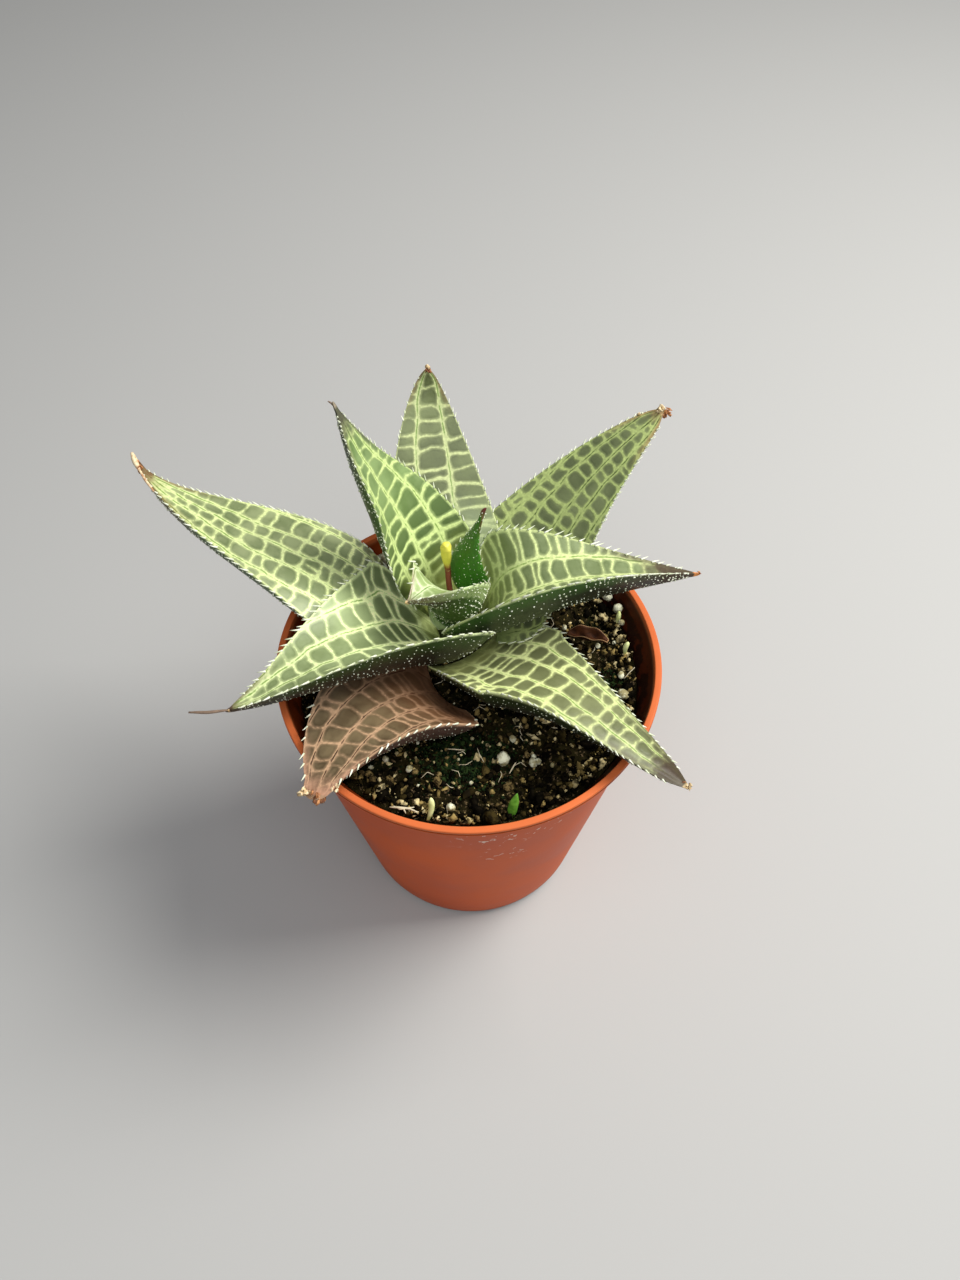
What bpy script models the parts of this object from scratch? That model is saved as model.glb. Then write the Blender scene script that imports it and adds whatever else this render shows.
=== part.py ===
"""A potted haworthia tessellata: a rosette of thick pointed leaves in a round plastic nursery pot.

Metres, +Z up.  The origin is the middle of the pot's underside.
The front, towards -Y, is the side where the old brown leaf lies over the rim.
"""
import math

import bmesh
import bpy
import numpy as np

MM = 0.001
GAP = 0.3            # clearance between neighbours that touch, in mm like every size below

POT_HEIGHT = 52.0
RIM_OUTER = 27.5     # radius of the lip's outer edge
LIP_HEIGHT = 1.0
WALL = 0.9
WALL_TOP = 26.7      # outer radius of the wall right under the lip
STEP_DROP = 3.2      # the wall steps in by STEP_IN this far below the rim
STEP_IN = 0.35
BASE_OUTER = 18.9    # outer radius where the wall meets the base's rounding
BASE_ROUND = 1.4
FLOOR = 1.3
DRAIN_HOLES = 4
DRAIN_RADIUS = 2.4
DRAIN_CIRCLE = 11.5
ROUND_STEPS = 64

SOIL_TOP = 47.0
SOIL_MOUND = 0.5     # the soil rises this much from the wall to the stem
SOIL_ROUGH = 0.35    # height of the lumps on its top

STEM_X = -1.5
STEM_Y = 6.0
STEM_RADIUS = 4.0
STEM_FOOT = 33.0
STEM_SHOULDER = 47.6
STEM_TOP = 54.5
STEM_TIP_RADIUS = 1.6

# The cut flower stalk: points of its middle line with the radius there.
STALK = [(-2.6, 8.0, 55.0, 0.45), (-2.9, 9.0, 57.5, 0.42), (-3.0, 9.7, 59.5, 0.42), (-3.1, 9.8, 61.0, 0.5),
         (-3.1, 9.8, 62.6, 0.72), (-3.1, 9.8, 64.3, 0.78), (-3.1, 9.8, 65.0, 0.5)]

TOOTH_LENGTH = 0.5
TOOTH_HALF_BASE = 0.25
TEETH = 15           # pairs of margin teeth on a full leaf
UPPER_POINTS = 7
UNDER_PLACES = [0.92, 0.6, 0.0, -0.6, -0.92]     # places across of the under face's points

# One entry for each leaf.  path: four control points of the blade's midline, from the stem to the tip.
# half: half width at the root, at its widest and at the tip.  widest: share of the length where it is widest.
# taper: the two exponents of its narrowing.  roll: turn about the midline at root and tip, in degrees.
# channel: how far the margins stand above the midline, as a share of the half width, at root and tip.
# keel: thickness of the blade at its middle.  belly: exponent of its under face, large for blunt margins.
LEAVES = {
    "leaf_left": dict(
        path=[(-10.8, 6.9, 50.1), (-18.8, 13.5, 62.7), (-41.3, 13.2, 64.3), (-48.7, 24.8, 67.1)],
        half=(5.4, 10.1, 0.4), widest=0.22, taper=(1.41, 1.61), roll=(-15, -5),
        channel=(-0.25, 0.09), keel=4.7, belly=5.0),
    "leaf_inner_upright": dict(
        path=[(-3.8, 9.1, 53.2), (-10.7, 17.5, 66.0), (-12.2, 14.1, 71.8), (-17.0, 16.5, 84.8)],
        half=(4.7, 7.8, 0.3), widest=0.15, taper=(1.84, 1.27), roll=(-8, 5),
        channel=(0.47, -0.13), keel=3.7, belly=2.0),
    "leaf_back": dict(
        path=[(-2.9, 13.1, 52.0), (-3.5, 15.1, 58.8), (-6.8, 32.1, 66.4), (-5.9, 34.8, 75.1)],
        half=(4.3, 8.2, 0.3), widest=0.25, taper=(1.27, 0.82), roll=(1, -2),
        channel=(0.32, -0.10), keel=3.8, belly=2.6),
    "leaf_right_back": dict(
        path=[(4.4, 10.7, 50.9), (11.3, 19.2, 57.6), (16.3, 22.8, 65.7), (27.8, 28.2, 73.1)],
        half=(3.9, 9.5, 0.9), widest=0.25, taper=(0.90, 0.60), roll=(1, 4),
        channel=(0.12, -0.15), keel=3.6, belly=4.0),
    "leaf_right": dict(
        path=[(1.2, 4.4, 53.1), (7.4, 3.3, 66.6), (18.4, 5.8, 63.8), (32.2, 6.9, 62.2)],
        half=(3.5, 10.1, 0.3), widest=0.18, taper=(1.30, 0.99), roll=(14, 33),
        channel=(0.67, 0.27), keel=3.7, belly=2.4),
    "leaf_lower_right": dict(
        path=[(0.0, 0.4, 51.6), (13.0, -8.0, 58.4), (11.3, -6.2, 58.2), (28.4, -23.0, 55.5)],
        half=(8.6, 9.8, 0.3), widest=0.25, taper=(0.49, 0.51), roll=(22, 13),
        channel=(0.24, -0.20), keel=4.6, belly=5.2),
    "leaf_front_left": dict(
        path=[(-3.0, 2.4, 51.3), (-14.8, -3.7, 63.3), (-21.5, -10.0, 60.8), (-31.8, -13.0, 58.2)],
        half=(5.0, 13.2, 0.3), widest=0.15, taper=(0.77, 0.93), roll=(-22, -19),
        channel=(0.58, 0.36), keel=3.1, belly=3.2),
    "leaf_old_brown": dict(
        path=[(-4.2, -4.7, 49.4), (-7.2, -6.1, 54.7), (-16.2, -9.8, 56.9), (-19.6, -24.2, 54.9)],
        half=(5.0, 11.4, 2.5), widest=0.20, taper=(1.75, 0.73), roll=(-10, -22),
        channel=(0.28, -0.05), keel=4.9, belly=5.0,
        colour=(0.20, 0.11, 0.06)),
    "leaf_centre_fold": dict(
        path=[(-1.6, 5.5, 55.0), (-1.5, 5.4, 60.0), (-2.7, 1.4, 68.4), (-8.4, -0.3, 64.8)],
        half=(3.9, 5.2, 0.3), widest=0.62, taper=(2.18, 1.61), roll=(-22, -16),
        channel=(0.34, 0.48), keel=3.8, belly=3.5),
    "leaf_centre_bud": dict(
        path=[(-0.6, 8.9, 56.3), (-0.2, 10.3, 62.3), (0.9, 11.1, 64.2), (2.5, 12.3, 69.6)],
        half=(1.9, 3.7, 0.3), widest=0.20, taper=(1.88, 1.19), roll=(185, 224),
        channel=(0.23, -0.12), keel=1.4, belly=2.4,
        colour=(0.03, 0.13, 0.02)),
    "leaf_hidden_right": dict(
        path=[(3.8, 5.3, 52.3), (7.0, 5.5, 53.6), (10.9, 7.2, 55.7), (13.1, 5.4, 56.9)],
        half=(3.4, 4.6, 0.3), widest=0.30, taper=(2.00, 0.90), roll=(1, 0),
        channel=(0.10, -0.10), keel=1.3, belly=1.6),
}


def new_material(name, colour, roughness):
    """A plain Principled material for one sub-part."""
    material = bpy.data.materials.new(name)
    material.use_nodes = True
    shader = material.node_tree.nodes["Principled BSDF"]
    shader.inputs["Base Color"].default_value = (*colour, 1.0)
    shader.inputs["Roughness"].default_value = roughness
    shader.inputs["Metallic"].default_value = 0.0
    return material


def new_collection(name):
    """A collection linked to the scene."""
    collection = bpy.data.collections.new(name)
    bpy.context.scene.collection.children.link(collection)
    return collection


def add_object(name, mesh, collection, material=None):
    """Put a mesh in the scene as one named object."""
    thing = bpy.data.objects.new(name, mesh)
    collection.objects.link(thing)
    if material:
        mesh.materials.append(material)
    return thing


def turned(name, profile, collection, material):
    """A solid of revolution: a profile of (radius, height) in mm, carried round Z by a Screw modifier.

    The profile runs down the outer side, from top to bottom, and both of its ends lie on the axis.
    """
    mesh = bpy.data.meshes.new(name)
    points = [(radius * MM, 0.0, height * MM) for radius, height in profile]
    mesh.from_pydata(points, [(i, i + 1) for i in range(len(points) - 1)], [])
    thing = add_object(name, mesh, collection, material)
    screw = thing.modifiers.new("turn", "SCREW")
    screw.angle = 2.0 * math.pi
    screw.steps = ROUND_STEPS
    screw.render_steps = ROUND_STEPS
    screw.use_merge_vertices = True
    screw.merge_threshold = 0.00001
    return thing


def cylinder(name, radius, low, high, x, y, collection):
    """A round cutter standing at x, y in mm, hidden in renders."""
    mesh = bpy.data.meshes.new(name)
    body = bmesh.new()
    bmesh.ops.create_cone(body, cap_ends=True, segments=24, radius1=radius * MM, radius2=radius * MM,
                          depth=(high - low) * MM)
    body.to_mesh(mesh)
    body.free()
    thing = add_object(name, mesh, collection)
    thing.location = (x * MM, y * MM, (low + high) / 2 * MM)
    thing.hide_render = True
    thing.display_type = "WIRE"
    return thing


def wall_radius(height):
    """Outer radius of the pot's wall at a height: a straight taper with a small step under the rim."""
    share = height / (POT_HEIGHT - LIP_HEIGHT)
    radius = BASE_OUTER + (WALL_TOP - BASE_OUTER) * share
    return radius if height > POT_HEIGHT - STEP_DROP else radius - STEP_IN


def make_pot(collection, cutters):
    """The moulded pot: thin tapered wall, flat lip, rounded foot and round drain holes in its floor."""
    lip_low = POT_HEIGHT - LIP_HEIGHT
    step = POT_HEIGHT - STEP_DROP
    foot = [(BASE_OUTER - STEP_IN - BASE_ROUND * (1 - math.cos(turn)), BASE_ROUND * (1 - math.sin(turn)))
            for turn in (0.0, math.pi / 6, math.pi / 3, math.pi / 2)]
    profile = [
        (0.0, FLOOR),
        (wall_radius(FLOOR) - WALL - 1.0, FLOOR),
        (wall_radius(FLOOR + 1.0) - WALL, FLOOR + 1.0),
        (wall_radius(step - 0.6) - WALL, step - 0.6),
        (wall_radius(lip_low) - WALL, step + 0.4),
        (RIM_OUTER - LIP_HEIGHT, POT_HEIGHT - 0.15),
        (RIM_OUTER - LIP_HEIGHT + 0.25, POT_HEIGHT),
        (RIM_OUTER - 0.25, POT_HEIGHT),
        (RIM_OUTER, POT_HEIGHT - 0.25),
        (RIM_OUTER, lip_low),
        (wall_radius(lip_low), lip_low - 0.1),
        (wall_radius(step + 0.1), step + 0.1),
        (wall_radius(step - 0.3), step - 0.3),
        *foot,
        (0.0, 0.0),
    ]
    pot = turned("pot", profile, collection, new_material("pot_plastic", (0.62, 0.16, 0.06), 0.38))
    for number in range(DRAIN_HOLES):
        turn = 2.0 * math.pi * (number + 0.5) / DRAIN_HOLES
        hole = cylinder(f"drain_cutter_{number + 1}", DRAIN_RADIUS, -1.0, FLOOR + 1.0,
                        DRAIN_CIRCLE * math.cos(turn), DRAIN_CIRCLE * math.sin(turn), cutters)
        cut = pot.modifiers.new(f"drain_{number + 1}", "BOOLEAN")
        cut.operation = "DIFFERENCE"
        cut.solver = "EXACT"
        cut.object = hole


def soil_height(x, y):
    """Height of the soil in mm: a low mound towards the stem with small lumps on it."""
    radius = math.hypot(x, y)
    mound = SOIL_MOUND * max(0.0, 1.0 - radius / 22.0)
    lumps = math.sin(0.83 * x + 1.3) * math.cos(0.71 * y - 0.4) + 0.5 * math.sin(1.7 * x - 0.9 * y)
    return SOIL_TOP + mound + SOIL_ROUGH * lumps / 1.5


def make_soil(collection):
    """The soil: one filling with a plain hole that the stem stands in."""
    clear = GAP + WALL
    hole = STEM_RADIUS + GAP
    rings = 8
    segments = 48
    body = bmesh.new()

    def ring(radius, height, centre_x=0.0, centre_y=0.0):
        """One circle of points; a height of None lies on the soil's lumpy top."""
        points = []
        for step in range(segments):
            turn = 2.0 * math.pi * step / segments
            x = centre_x + radius * math.cos(turn)
            y = centre_y + radius * math.sin(turn)
            level = soil_height(x, y) if height is None else height
            points.append(body.verts.new((x * MM, y * MM, level * MM)))
        return points

    edge = wall_radius(SOIL_TOP) - clear
    loops = [ring(hole, STEM_FOOT - GAP, STEM_X, STEM_Y)]
    for number in range(rings + 1):
        share = (number / rings) ** 0.9
        centre = 1.0 - share
        loops.append(ring(hole + (edge - hole) * share, None, STEM_X * centre, STEM_Y * centre))
    loops.append(ring(wall_radius(FLOOR + 1.6) - clear, FLOOR + 1.6))
    loops.append(ring(wall_radius(FLOOR + 1.6) - clear - 1.2, FLOOR + GAP))
    for first, second in zip(loops, loops[1:]):
        for step in range(segments):
            after = (step + 1) % segments
            body.faces.new((first[step], second[step], second[after], first[after]))
    body.faces.new(loops[0])
    body.faces.new(reversed(loops[-1]))
    bmesh.ops.recalc_face_normals(body, faces=body.faces)
    mesh = bpy.data.meshes.new("soil")
    body.to_mesh(mesh)
    body.free()
    add_object("soil", mesh, collection, new_material("peat", (0.02, 0.013, 0.008), 0.95))


def make_stem(collection):
    """The short stem: a stout root crown in the soil that narrows between the leaf bases."""
    profile = [
        (0.0, STEM_TOP),
        (STEM_TIP_RADIUS * 0.7, STEM_TOP - 0.2),
        (STEM_TIP_RADIUS, STEM_TOP - 0.8),
        (STEM_RADIUS, STEM_SHOULDER),
        (STEM_RADIUS, STEM_FOOT + 3.0),
        (STEM_RADIUS * 0.6, STEM_FOOT + 0.6),
        (0.0, STEM_FOOT),
    ]
    stem = turned("stem", profile, collection, new_material("stem_green", (0.16, 0.20, 0.06), 0.6))
    stem.location = (STEM_X * MM, STEM_Y * MM, 0.0)


def make_stalk(collection):
    """The rest of the cut flower stalk: a thin stem with a swollen dry end."""
    curve = bpy.data.curves.new("flower_stalk_stub", "CURVE")
    curve.dimensions = "3D"
    curve.bevel_depth = MM
    curve.bevel_resolution = 2
    curve.use_fill_caps = True
    spline = curve.splines.new("POLY")
    spline.points.add(len(STALK) - 1)
    for point, (x, y, z, radius) in zip(spline.points, STALK):
        point.co = (x * MM, y * MM, z * MM, 1.0)
        point.radius = radius
    add_object("flower_stalk_stub", curve, collection, new_material("stalk_yellow", (0.75, 0.60, 0.10), 0.6))


def midline(path, count=201):
    """Points, unit directions and lengths along the cubic curve of four control points."""
    first, second, third, last = (np.array(point) for point in path)
    t = np.linspace(0.0, 1.0, count)[:, None]
    points = ((1 - t) ** 3 * first + 3 * (1 - t) ** 2 * t * second
              + 3 * (1 - t) * t ** 2 * third + t ** 3 * last)
    along = (1 - t) ** 2 * (second - first) + 2 * (1 - t) * t * (third - second) + t ** 2 * (last - third)
    along /= np.linalg.norm(along, axis=1)[:, None]
    lengths = np.concatenate([[0.0], np.cumsum(np.linalg.norm(np.diff(points, axis=0), axis=1))])
    return t[:, 0], points, along, lengths


def leaf_rows(length, teeth):
    """Lengths of the cross rows: three close rows at each tooth, whose middle one carries the points."""
    rows = [0.0, length * 0.05]
    tips = []
    for number in range(teeth):
        centre = length * (0.11 + 0.84 * number / (teeth - 1))
        rows += [centre - TOOTH_HALF_BASE, centre, centre + TOOTH_HALF_BASE]
        tips.append(len(rows) - 2)
    return np.array(rows + [length * 0.975, length]), tips


def leaf_mesh(name, leaf):
    """One blade, lofted along its midline.

    Each cross row has a shallow channelled upper face and a keeled under face that meet in an acute margin.
    The half width grows from the root to its widest place and narrows to the tip by the taper's exponents.
    """
    t_table, points, along, lengths = midline(leaf["path"])
    teeth = max(4, round(TEETH * lengths[-1] / 36.0))
    rows, tooth_rows = leaf_rows(lengths[-1], teeth)
    t = np.interp(rows, lengths, t_table)
    centre = np.stack([np.interp(rows, lengths, points[:, axis]) for axis in range(3)], 1)
    ahead = np.stack([np.interp(rows, lengths, along[:, axis]) for axis in range(3)], 1)
    level = np.cross(ahead, (0.0, 0.0, 1.0))
    level /= np.linalg.norm(level, axis=1)[:, None]
    raised = np.cross(level, ahead)
    roll = np.radians(leaf["roll"][0] + (leaf["roll"][1] - leaf["roll"][0]) * t)[:, None]
    across = level * np.cos(roll) + raised * np.sin(roll)
    up = raised * np.cos(roll) - level * np.sin(roll)

    root, widest, tip = leaf["half"]
    grow = np.clip(t / leaf["widest"], 0.0, 1.0)
    fall = np.clip((t - leaf["widest"]) / (1.0 - leaf["widest"]), 0.0, 1.0)
    half = root + (widest - root) * np.sin(grow * math.pi / 2)
    half = half * (1 - fall ** leaf["taper"][0]) ** leaf["taper"][1]
    half = np.maximum(half, tip)
    channel = leaf["channel"][0] + (leaf["channel"][1] - leaf["channel"][0]) * t
    swell = 0.55 + 0.45 * np.clip(t / 0.35, 0.0, 1.0)
    keel = np.maximum(leaf["keel"] * swell * np.clip(1 - t ** 2.5, 0.0, 1.0) ** 0.8, 0.6)

    upper = np.linspace(-1.0, 1.0, UPPER_POINTS)
    u = np.concatenate([upper, UNDER_PLACES])
    rise = (channel * half)[:, None] * u ** 2
    sink = np.where(np.arange(len(u)) < UPPER_POINTS, 0.0, 1 - np.abs(u) ** leaf["belly"])
    rise = rise - keel[:, None] * sink
    ring = centre[:, None] + across[:, None] * (half[:, None] * u)[..., None] + up[:, None] * rise[..., None]
    for row in tooth_rows:
        reach = TOOTH_LENGTH * min(1.0, 0.45 + half[row] / 6.0)
        slope = 2.0 * channel[row]
        for column, side in ((0, -1.0), (UPPER_POINTS - 1, 1.0)):
            outward = (across[row] * side + up[row] * slope) / math.sqrt(1.0 + slope ** 2)
            ring[row, column] += (outward + ahead[row] * 0.4) * reach

    count = len(u)
    faces = []
    for row in range(len(rows) - 1):
        for column in range(count):
            after = (column + 1) % count
            start = row * count
            faces.append((start + column, start + count + column, start + count + after, start + after))
    faces.append(tuple(range(count)))
    faces.append(tuple(reversed(range((len(rows) - 1) * count, len(rows) * count))))
    mesh = bpy.data.meshes.new(name)
    mesh.from_pydata((ring.reshape(-1, 3) * MM).tolist(), [], faces)
    body = bmesh.new()
    body.from_mesh(mesh)
    bmesh.ops.triangulate(body, faces=body.faces)
    bmesh.ops.recalc_face_normals(body, faces=body.faces)
    body.to_mesh(mesh)
    body.free()
    return mesh


def main():
    for thing in list(bpy.data.objects):
        bpy.data.objects.remove(thing)
    part = new_collection("potted_haworthia_tessellata")
    cutters = new_collection("cutters")
    make_pot(part, cutters)
    make_soil(part)
    make_stem(part)
    make_stalk(part)
    for name, leaf in LEAVES.items():
        material = new_material(f"{name}_green", leaf.get("colour", (0.18, 0.26, 0.10)), 0.4)
        add_object(name, leaf_mesh(name, leaf), part, material)


main()
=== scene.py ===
"""A potted haworthia tessellata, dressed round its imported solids: pot, soil, stem, leaves and stalk."""

import math

import bpy
import numpy as np
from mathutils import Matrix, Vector


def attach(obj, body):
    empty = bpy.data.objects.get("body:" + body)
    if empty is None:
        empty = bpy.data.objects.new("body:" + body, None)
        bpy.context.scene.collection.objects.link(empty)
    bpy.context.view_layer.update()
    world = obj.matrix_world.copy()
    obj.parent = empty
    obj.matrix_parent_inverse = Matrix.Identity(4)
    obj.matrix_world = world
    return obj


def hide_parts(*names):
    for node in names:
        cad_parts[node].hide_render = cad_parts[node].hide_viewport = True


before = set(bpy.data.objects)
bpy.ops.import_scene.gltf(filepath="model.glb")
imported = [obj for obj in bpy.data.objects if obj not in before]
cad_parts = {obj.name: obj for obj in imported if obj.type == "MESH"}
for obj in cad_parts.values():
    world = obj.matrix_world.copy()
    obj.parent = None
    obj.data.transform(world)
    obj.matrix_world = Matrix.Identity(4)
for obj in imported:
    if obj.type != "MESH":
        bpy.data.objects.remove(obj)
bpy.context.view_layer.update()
MM = 0.001

# The camera looks down steeply at the pot from about 15 cm away, as the photograph does.
# Its distance and lens come from how the pot's rim and base appear there.
CAMERA_ELEVATION = math.radians(54.8)
CAMERA_DISTANCE = 146.9 * MM
CAMERA_TARGET = Vector((1.58, 0.0, 55.9)) * MM
LENS = 29.53
SENSOR = 36.0

camera_data = bpy.data.cameras.new("camera")
camera_data.sensor_fit = "VERTICAL"
camera_data.sensor_width = SENSOR
camera_data.sensor_height = SENSOR
camera_data.lens = LENS
camera_data.clip_start = 0.005
camera = bpy.data.objects.new("camera", camera_data)
bpy.context.scene.collection.objects.link(camera)
camera_back = Vector((0.0, -math.cos(CAMERA_ELEVATION), math.sin(CAMERA_ELEVATION)))
camera.location = CAMERA_TARGET + camera_back * CAMERA_DISTANCE
camera.rotation_euler = (-camera_back).to_track_quat("-Z", "Y").to_euler()
bpy.context.scene.camera = camera

# Soft studio light: a broad window-like panel high on the right, a weaker fill high in front, and an
# even pale surround, so that the shadow falls softly to the left.
WINDOW_POWER = 3.75
FILL_POWER = 1.45
SURROUND_STRENGTH = 0.19


def panel_light(name, place, size, power, colour):
    """A square area light at a place in metres, turned towards the rosette."""
    light = bpy.data.lights.new(name, "AREA")
    light.size = size
    light.energy = power
    light.color = colour
    lamp = bpy.data.objects.new(name, light)
    bpy.context.scene.collection.objects.link(lamp)
    lamp.location = place
    lamp.rotation_euler = (Vector((0.0, 0.0, 0.05)) - Vector(place)).to_track_quat("-Z", "Y").to_euler()


panel_light("window", (0.30, 0.08, 0.44), 0.28, WINDOW_POWER, (1.0, 0.98, 0.94))
panel_light("fill", (0.0, -0.26, 0.52), 0.4, FILL_POWER, (0.97, 0.98, 1.0))
world = bpy.data.worlds.new("surround")
world.use_nodes = True
surround = world.node_tree.nodes["Background"].inputs
surround["Color"].default_value = (0.92, 0.95, 1.0, 1.0)
surround["Strength"].default_value = SURROUND_STRENGTH
bpy.context.scene.world = world
bpy.context.scene.view_settings.view_transform = "Standard"


# A plain pale table: one flat sheet, three metres wide, that is not part of the object.
# Its material is written as an expression, as all of them are: Wire stands for one socket, whose operators
# add Math nodes, and Finish for one material, whose node method adds any other node.
FLOOR_HALF = 1500.0


class Wire:
    """One output socket of a material, with + - * ** as Math nodes."""

    def __init__(self, finish, socket):
        self.finish = finish
        self.socket = socket

    def _math(self, operation, first, second):
        return self.finish.node("ShaderNodeMath", {"operation": operation}, {0: first, 1: second})

    def __add__(self, other):
        return self._math("ADD", self, other)

    def __sub__(self, other):
        return self._math("SUBTRACT", self, other)

    def __rsub__(self, other):
        return self._math("SUBTRACT", other, self)

    def __mul__(self, other):
        return self._math("MULTIPLY", self, other)

    def __pow__(self, other):
        return self._math("POWER", self, other)

    __radd__ = __add__
    __rmul__ = __mul__


class Finish:
    """One Principled material under construction."""

    def __init__(self, name):
        self.material = bpy.data.materials.new(name)
        self.material.use_nodes = True
        self.tree = self.material.node_tree
        self.shader = self.tree.nodes["Principled BSDF"]
        self.place = self.node("ShaderNodeTexCoord", out="Object")

    def node(self, kind, settings=None, values=None, out=0):
        """Add a node: its settings come first, then the values or links of its sockets."""
        made = self.tree.nodes.new(kind)
        for name, value in (settings or {}).items():
            setattr(made, name, value)
        for name, value in (values or {}).items():
            self.join(value, made.inputs[name])
        return Wire(self, made.outputs[out])

    def join(self, value, socket):
        """Link a wire to a socket, or set the socket's own value."""
        if isinstance(value, Wire):
            self.tree.links.new(value.socket, socket)
        else:
            socket.default_value = (*value, 1.0) if socket.type == "RGBA" else value

    def noise(self, scale, detail=3.0, roughness=0.55):
        """Fractal noise about 0.5, with scale in waves per metre on Object coordinates."""
        return self.node("ShaderNodeTexNoise", None,
                         {"Vector": self.place, "Scale": scale, "Detail": detail, "Roughness": roughness})

    def axis(self, number):
        """The place in metres along X, Y or Z, for the numbers 0, 1 and 2."""
        return self.node("ShaderNodeSeparateXYZ", None, {0: self.place}, number)

    def attribute(self, name):
        """A float attribute of the mesh."""
        return self.node("ShaderNodeAttribute", {"attribute_name": name}, None, "Fac")

    def step(self, value, low, high, to_low=0.0, to_high=1.0):
        """A smooth step from to_low to to_high as the value goes from low to high."""
        return self.node("ShaderNodeMapRange", {"interpolation_type": "SMOOTHSTEP"},
                         {0: value, 1: low, 2: high, 3: to_low, 4: to_high})

    def between(self, value, start, full, fading, end):
        """A smooth rise from 0 at start to 1 at full, times a smooth fall from 1 at fading to 0 at end."""
        return self.step(value, start, full) * self.step(value, end, fading)

    def larger(self, first, second):
        """The larger of two numbers."""
        return self.node("ShaderNodeMath", {"operation": "MAXIMUM"}, {0: first, 1: second})

    def blend(self, factor, first, second, mode="MIX"):
        """Mix two colours, or treat them as the mode says, by a factor from 0 to 1."""
        settings = {"data_type": "RGBA", "blend_type": mode, "clamp_factor": True, "clamp_result": True}
        return self.node("ShaderNodeMix", settings, {0: factor, 6: first, 7: second}, 2)

    def bump(self, height, strength, distance, under=None):
        """Turn a height from 0 to 1 into a normal, with the full height given in metres."""
        values = {"Height": height, "Strength": strength, "Distance": distance}
        if under:
            values["Normal"] = under
        return self.node("ShaderNodeBump", None, values)

    def surface(self, colour, roughness, normal=None, **constants):
        """Join the colour, roughness and normal, and set the other sockets to constants."""
        self.join(colour, self.shader.inputs["Base Color"])
        self.join(roughness, self.shader.inputs["Roughness"])
        if normal:
            self.join(normal, self.shader.inputs["Normal"])
        for name, value in constants.items():
            self.join(value, self.shader.inputs[name.replace("_", " ")])
        return self.material


def solid(name, points, faces, materials, body="root", marks=None, attributes=None):
    """A mesh object from points in mm and faces as lists of corners.

    Marks give each face its material's number, and attributes give each point a value.
    """
    mesh = bpy.data.meshes.new(name)
    mesh.from_pydata((np.asarray(points) * MM).tolist(), [], faces)
    for material in materials:
        mesh.materials.append(material)
    if marks is not None:
        mesh.polygons.foreach_set("material_index", np.asarray(marks, dtype=np.int32))
    for key, values in (attributes or {}).items():
        layer = mesh.attributes.new(key, "FLOAT", "POINT")
        layer.data.foreach_set("value", np.asarray(values, dtype=np.float32))
    mesh.polygons.foreach_set("use_smooth", np.ones(len(mesh.polygons), dtype=bool))
    mesh.update()
    thing = bpy.data.objects.new(name, mesh)
    bpy.context.scene.collection.objects.link(thing)
    if body:
        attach(thing, body)
    return thing


floor_material = Finish("pale_floor").surface((0.42, 0.42, 0.41), 0.85)
floor_points = [(-FLOOR_HALF, -FLOOR_HALF, 0.0), (FLOOR_HALF, -FLOOR_HALF, 0.0),
                (FLOOR_HALF, FLOOR_HALF, 0.0), (-FLOOR_HALF, FLOOR_HALF, 0.0)]
solid("floor", floor_points, [(0, 1, 2, 3)], [floor_material], body=None)


# The nursery pot is one thin-walled moulding in terracotta-orange plastic: a straight tapered wall with
# a small step under its grooved lip, a rounded foot and four round drain holes.  Lime from the tap water
# has dried in white flecks under the lip.  The inside is darkened, most of all at the right: partly by
# soil stain, partly by painted shade below the rim.
POT_HEIGHT = 52.0
RIM_OUTER = 27.5
LIP_HEIGHT = 1.0
LIP_GROOVE = 0.12
WALL = 0.9
WALL_TOP = 26.7
STEP_DROP = 3.2
STEP_IN = 0.35
BASE_OUTER = 18.9
BASE_ROUND = 1.4
FLOOR_THICK = 1.3
DRAIN_HOLES = 4
DRAIN_RADIUS = 2.4
DRAIN_CIRCLE = 11.5
DRAIN_SIDES = 48
POT_SEGMENTS = 160


def arc(radius, height, size, start, stop, count=7):
    """Points of a quarter round: centre at radius, height, from one angle to another in degrees."""
    turn = np.radians(np.linspace(start, stop, count))
    return np.stack([radius + size * np.cos(turn), height + size * np.sin(turn)], 1)


def wall_radius(height):
    """The wall's outer radius: a straight taper, a little smaller under the step."""
    radius = BASE_OUTER + (WALL_TOP - BASE_OUTER) * height / (POT_HEIGHT - LIP_HEIGHT)
    return radius if height > POT_HEIGHT - STEP_DROP else radius - STEP_IN


def turn_profile(profile, segments):
    """A profile of (radius, height) carried round Z: radius times cosine and sine, and the height kept."""
    turn = np.linspace(0.0, 2.0 * np.pi, segments, endpoint=False)
    profile = np.asarray(profile)
    return np.stack([profile[:, :1] * np.cos(turn), profile[:, :1] * np.sin(turn),
                     np.repeat(profile[:, 1:], segments, 1)], -1).reshape(-1, 3)


def capped(rows, columns):
    """Faces of a tube whose points run round it ring by ring: quads between rings, one face at each end."""
    row, column = np.meshgrid(np.arange(rows - 1), np.arange(columns), indexing="ij")
    after = (column + 1) % columns
    quads = np.stack([row * columns + column, (row + 1) * columns + column,
                      (row + 1) * columns + after, row * columns + after], -1)
    last = list(range((rows - 1) * columns, rows * columns))
    return quads.reshape(-1, 4).tolist() + [list(range(columns)), last[::-1]]


def turned(profile, segments):
    """Points and faces of a closed body: a profile carried round Z, with one face at each end of it."""
    return turn_profile(profile, segments), capped(len(profile), segments)


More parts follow.
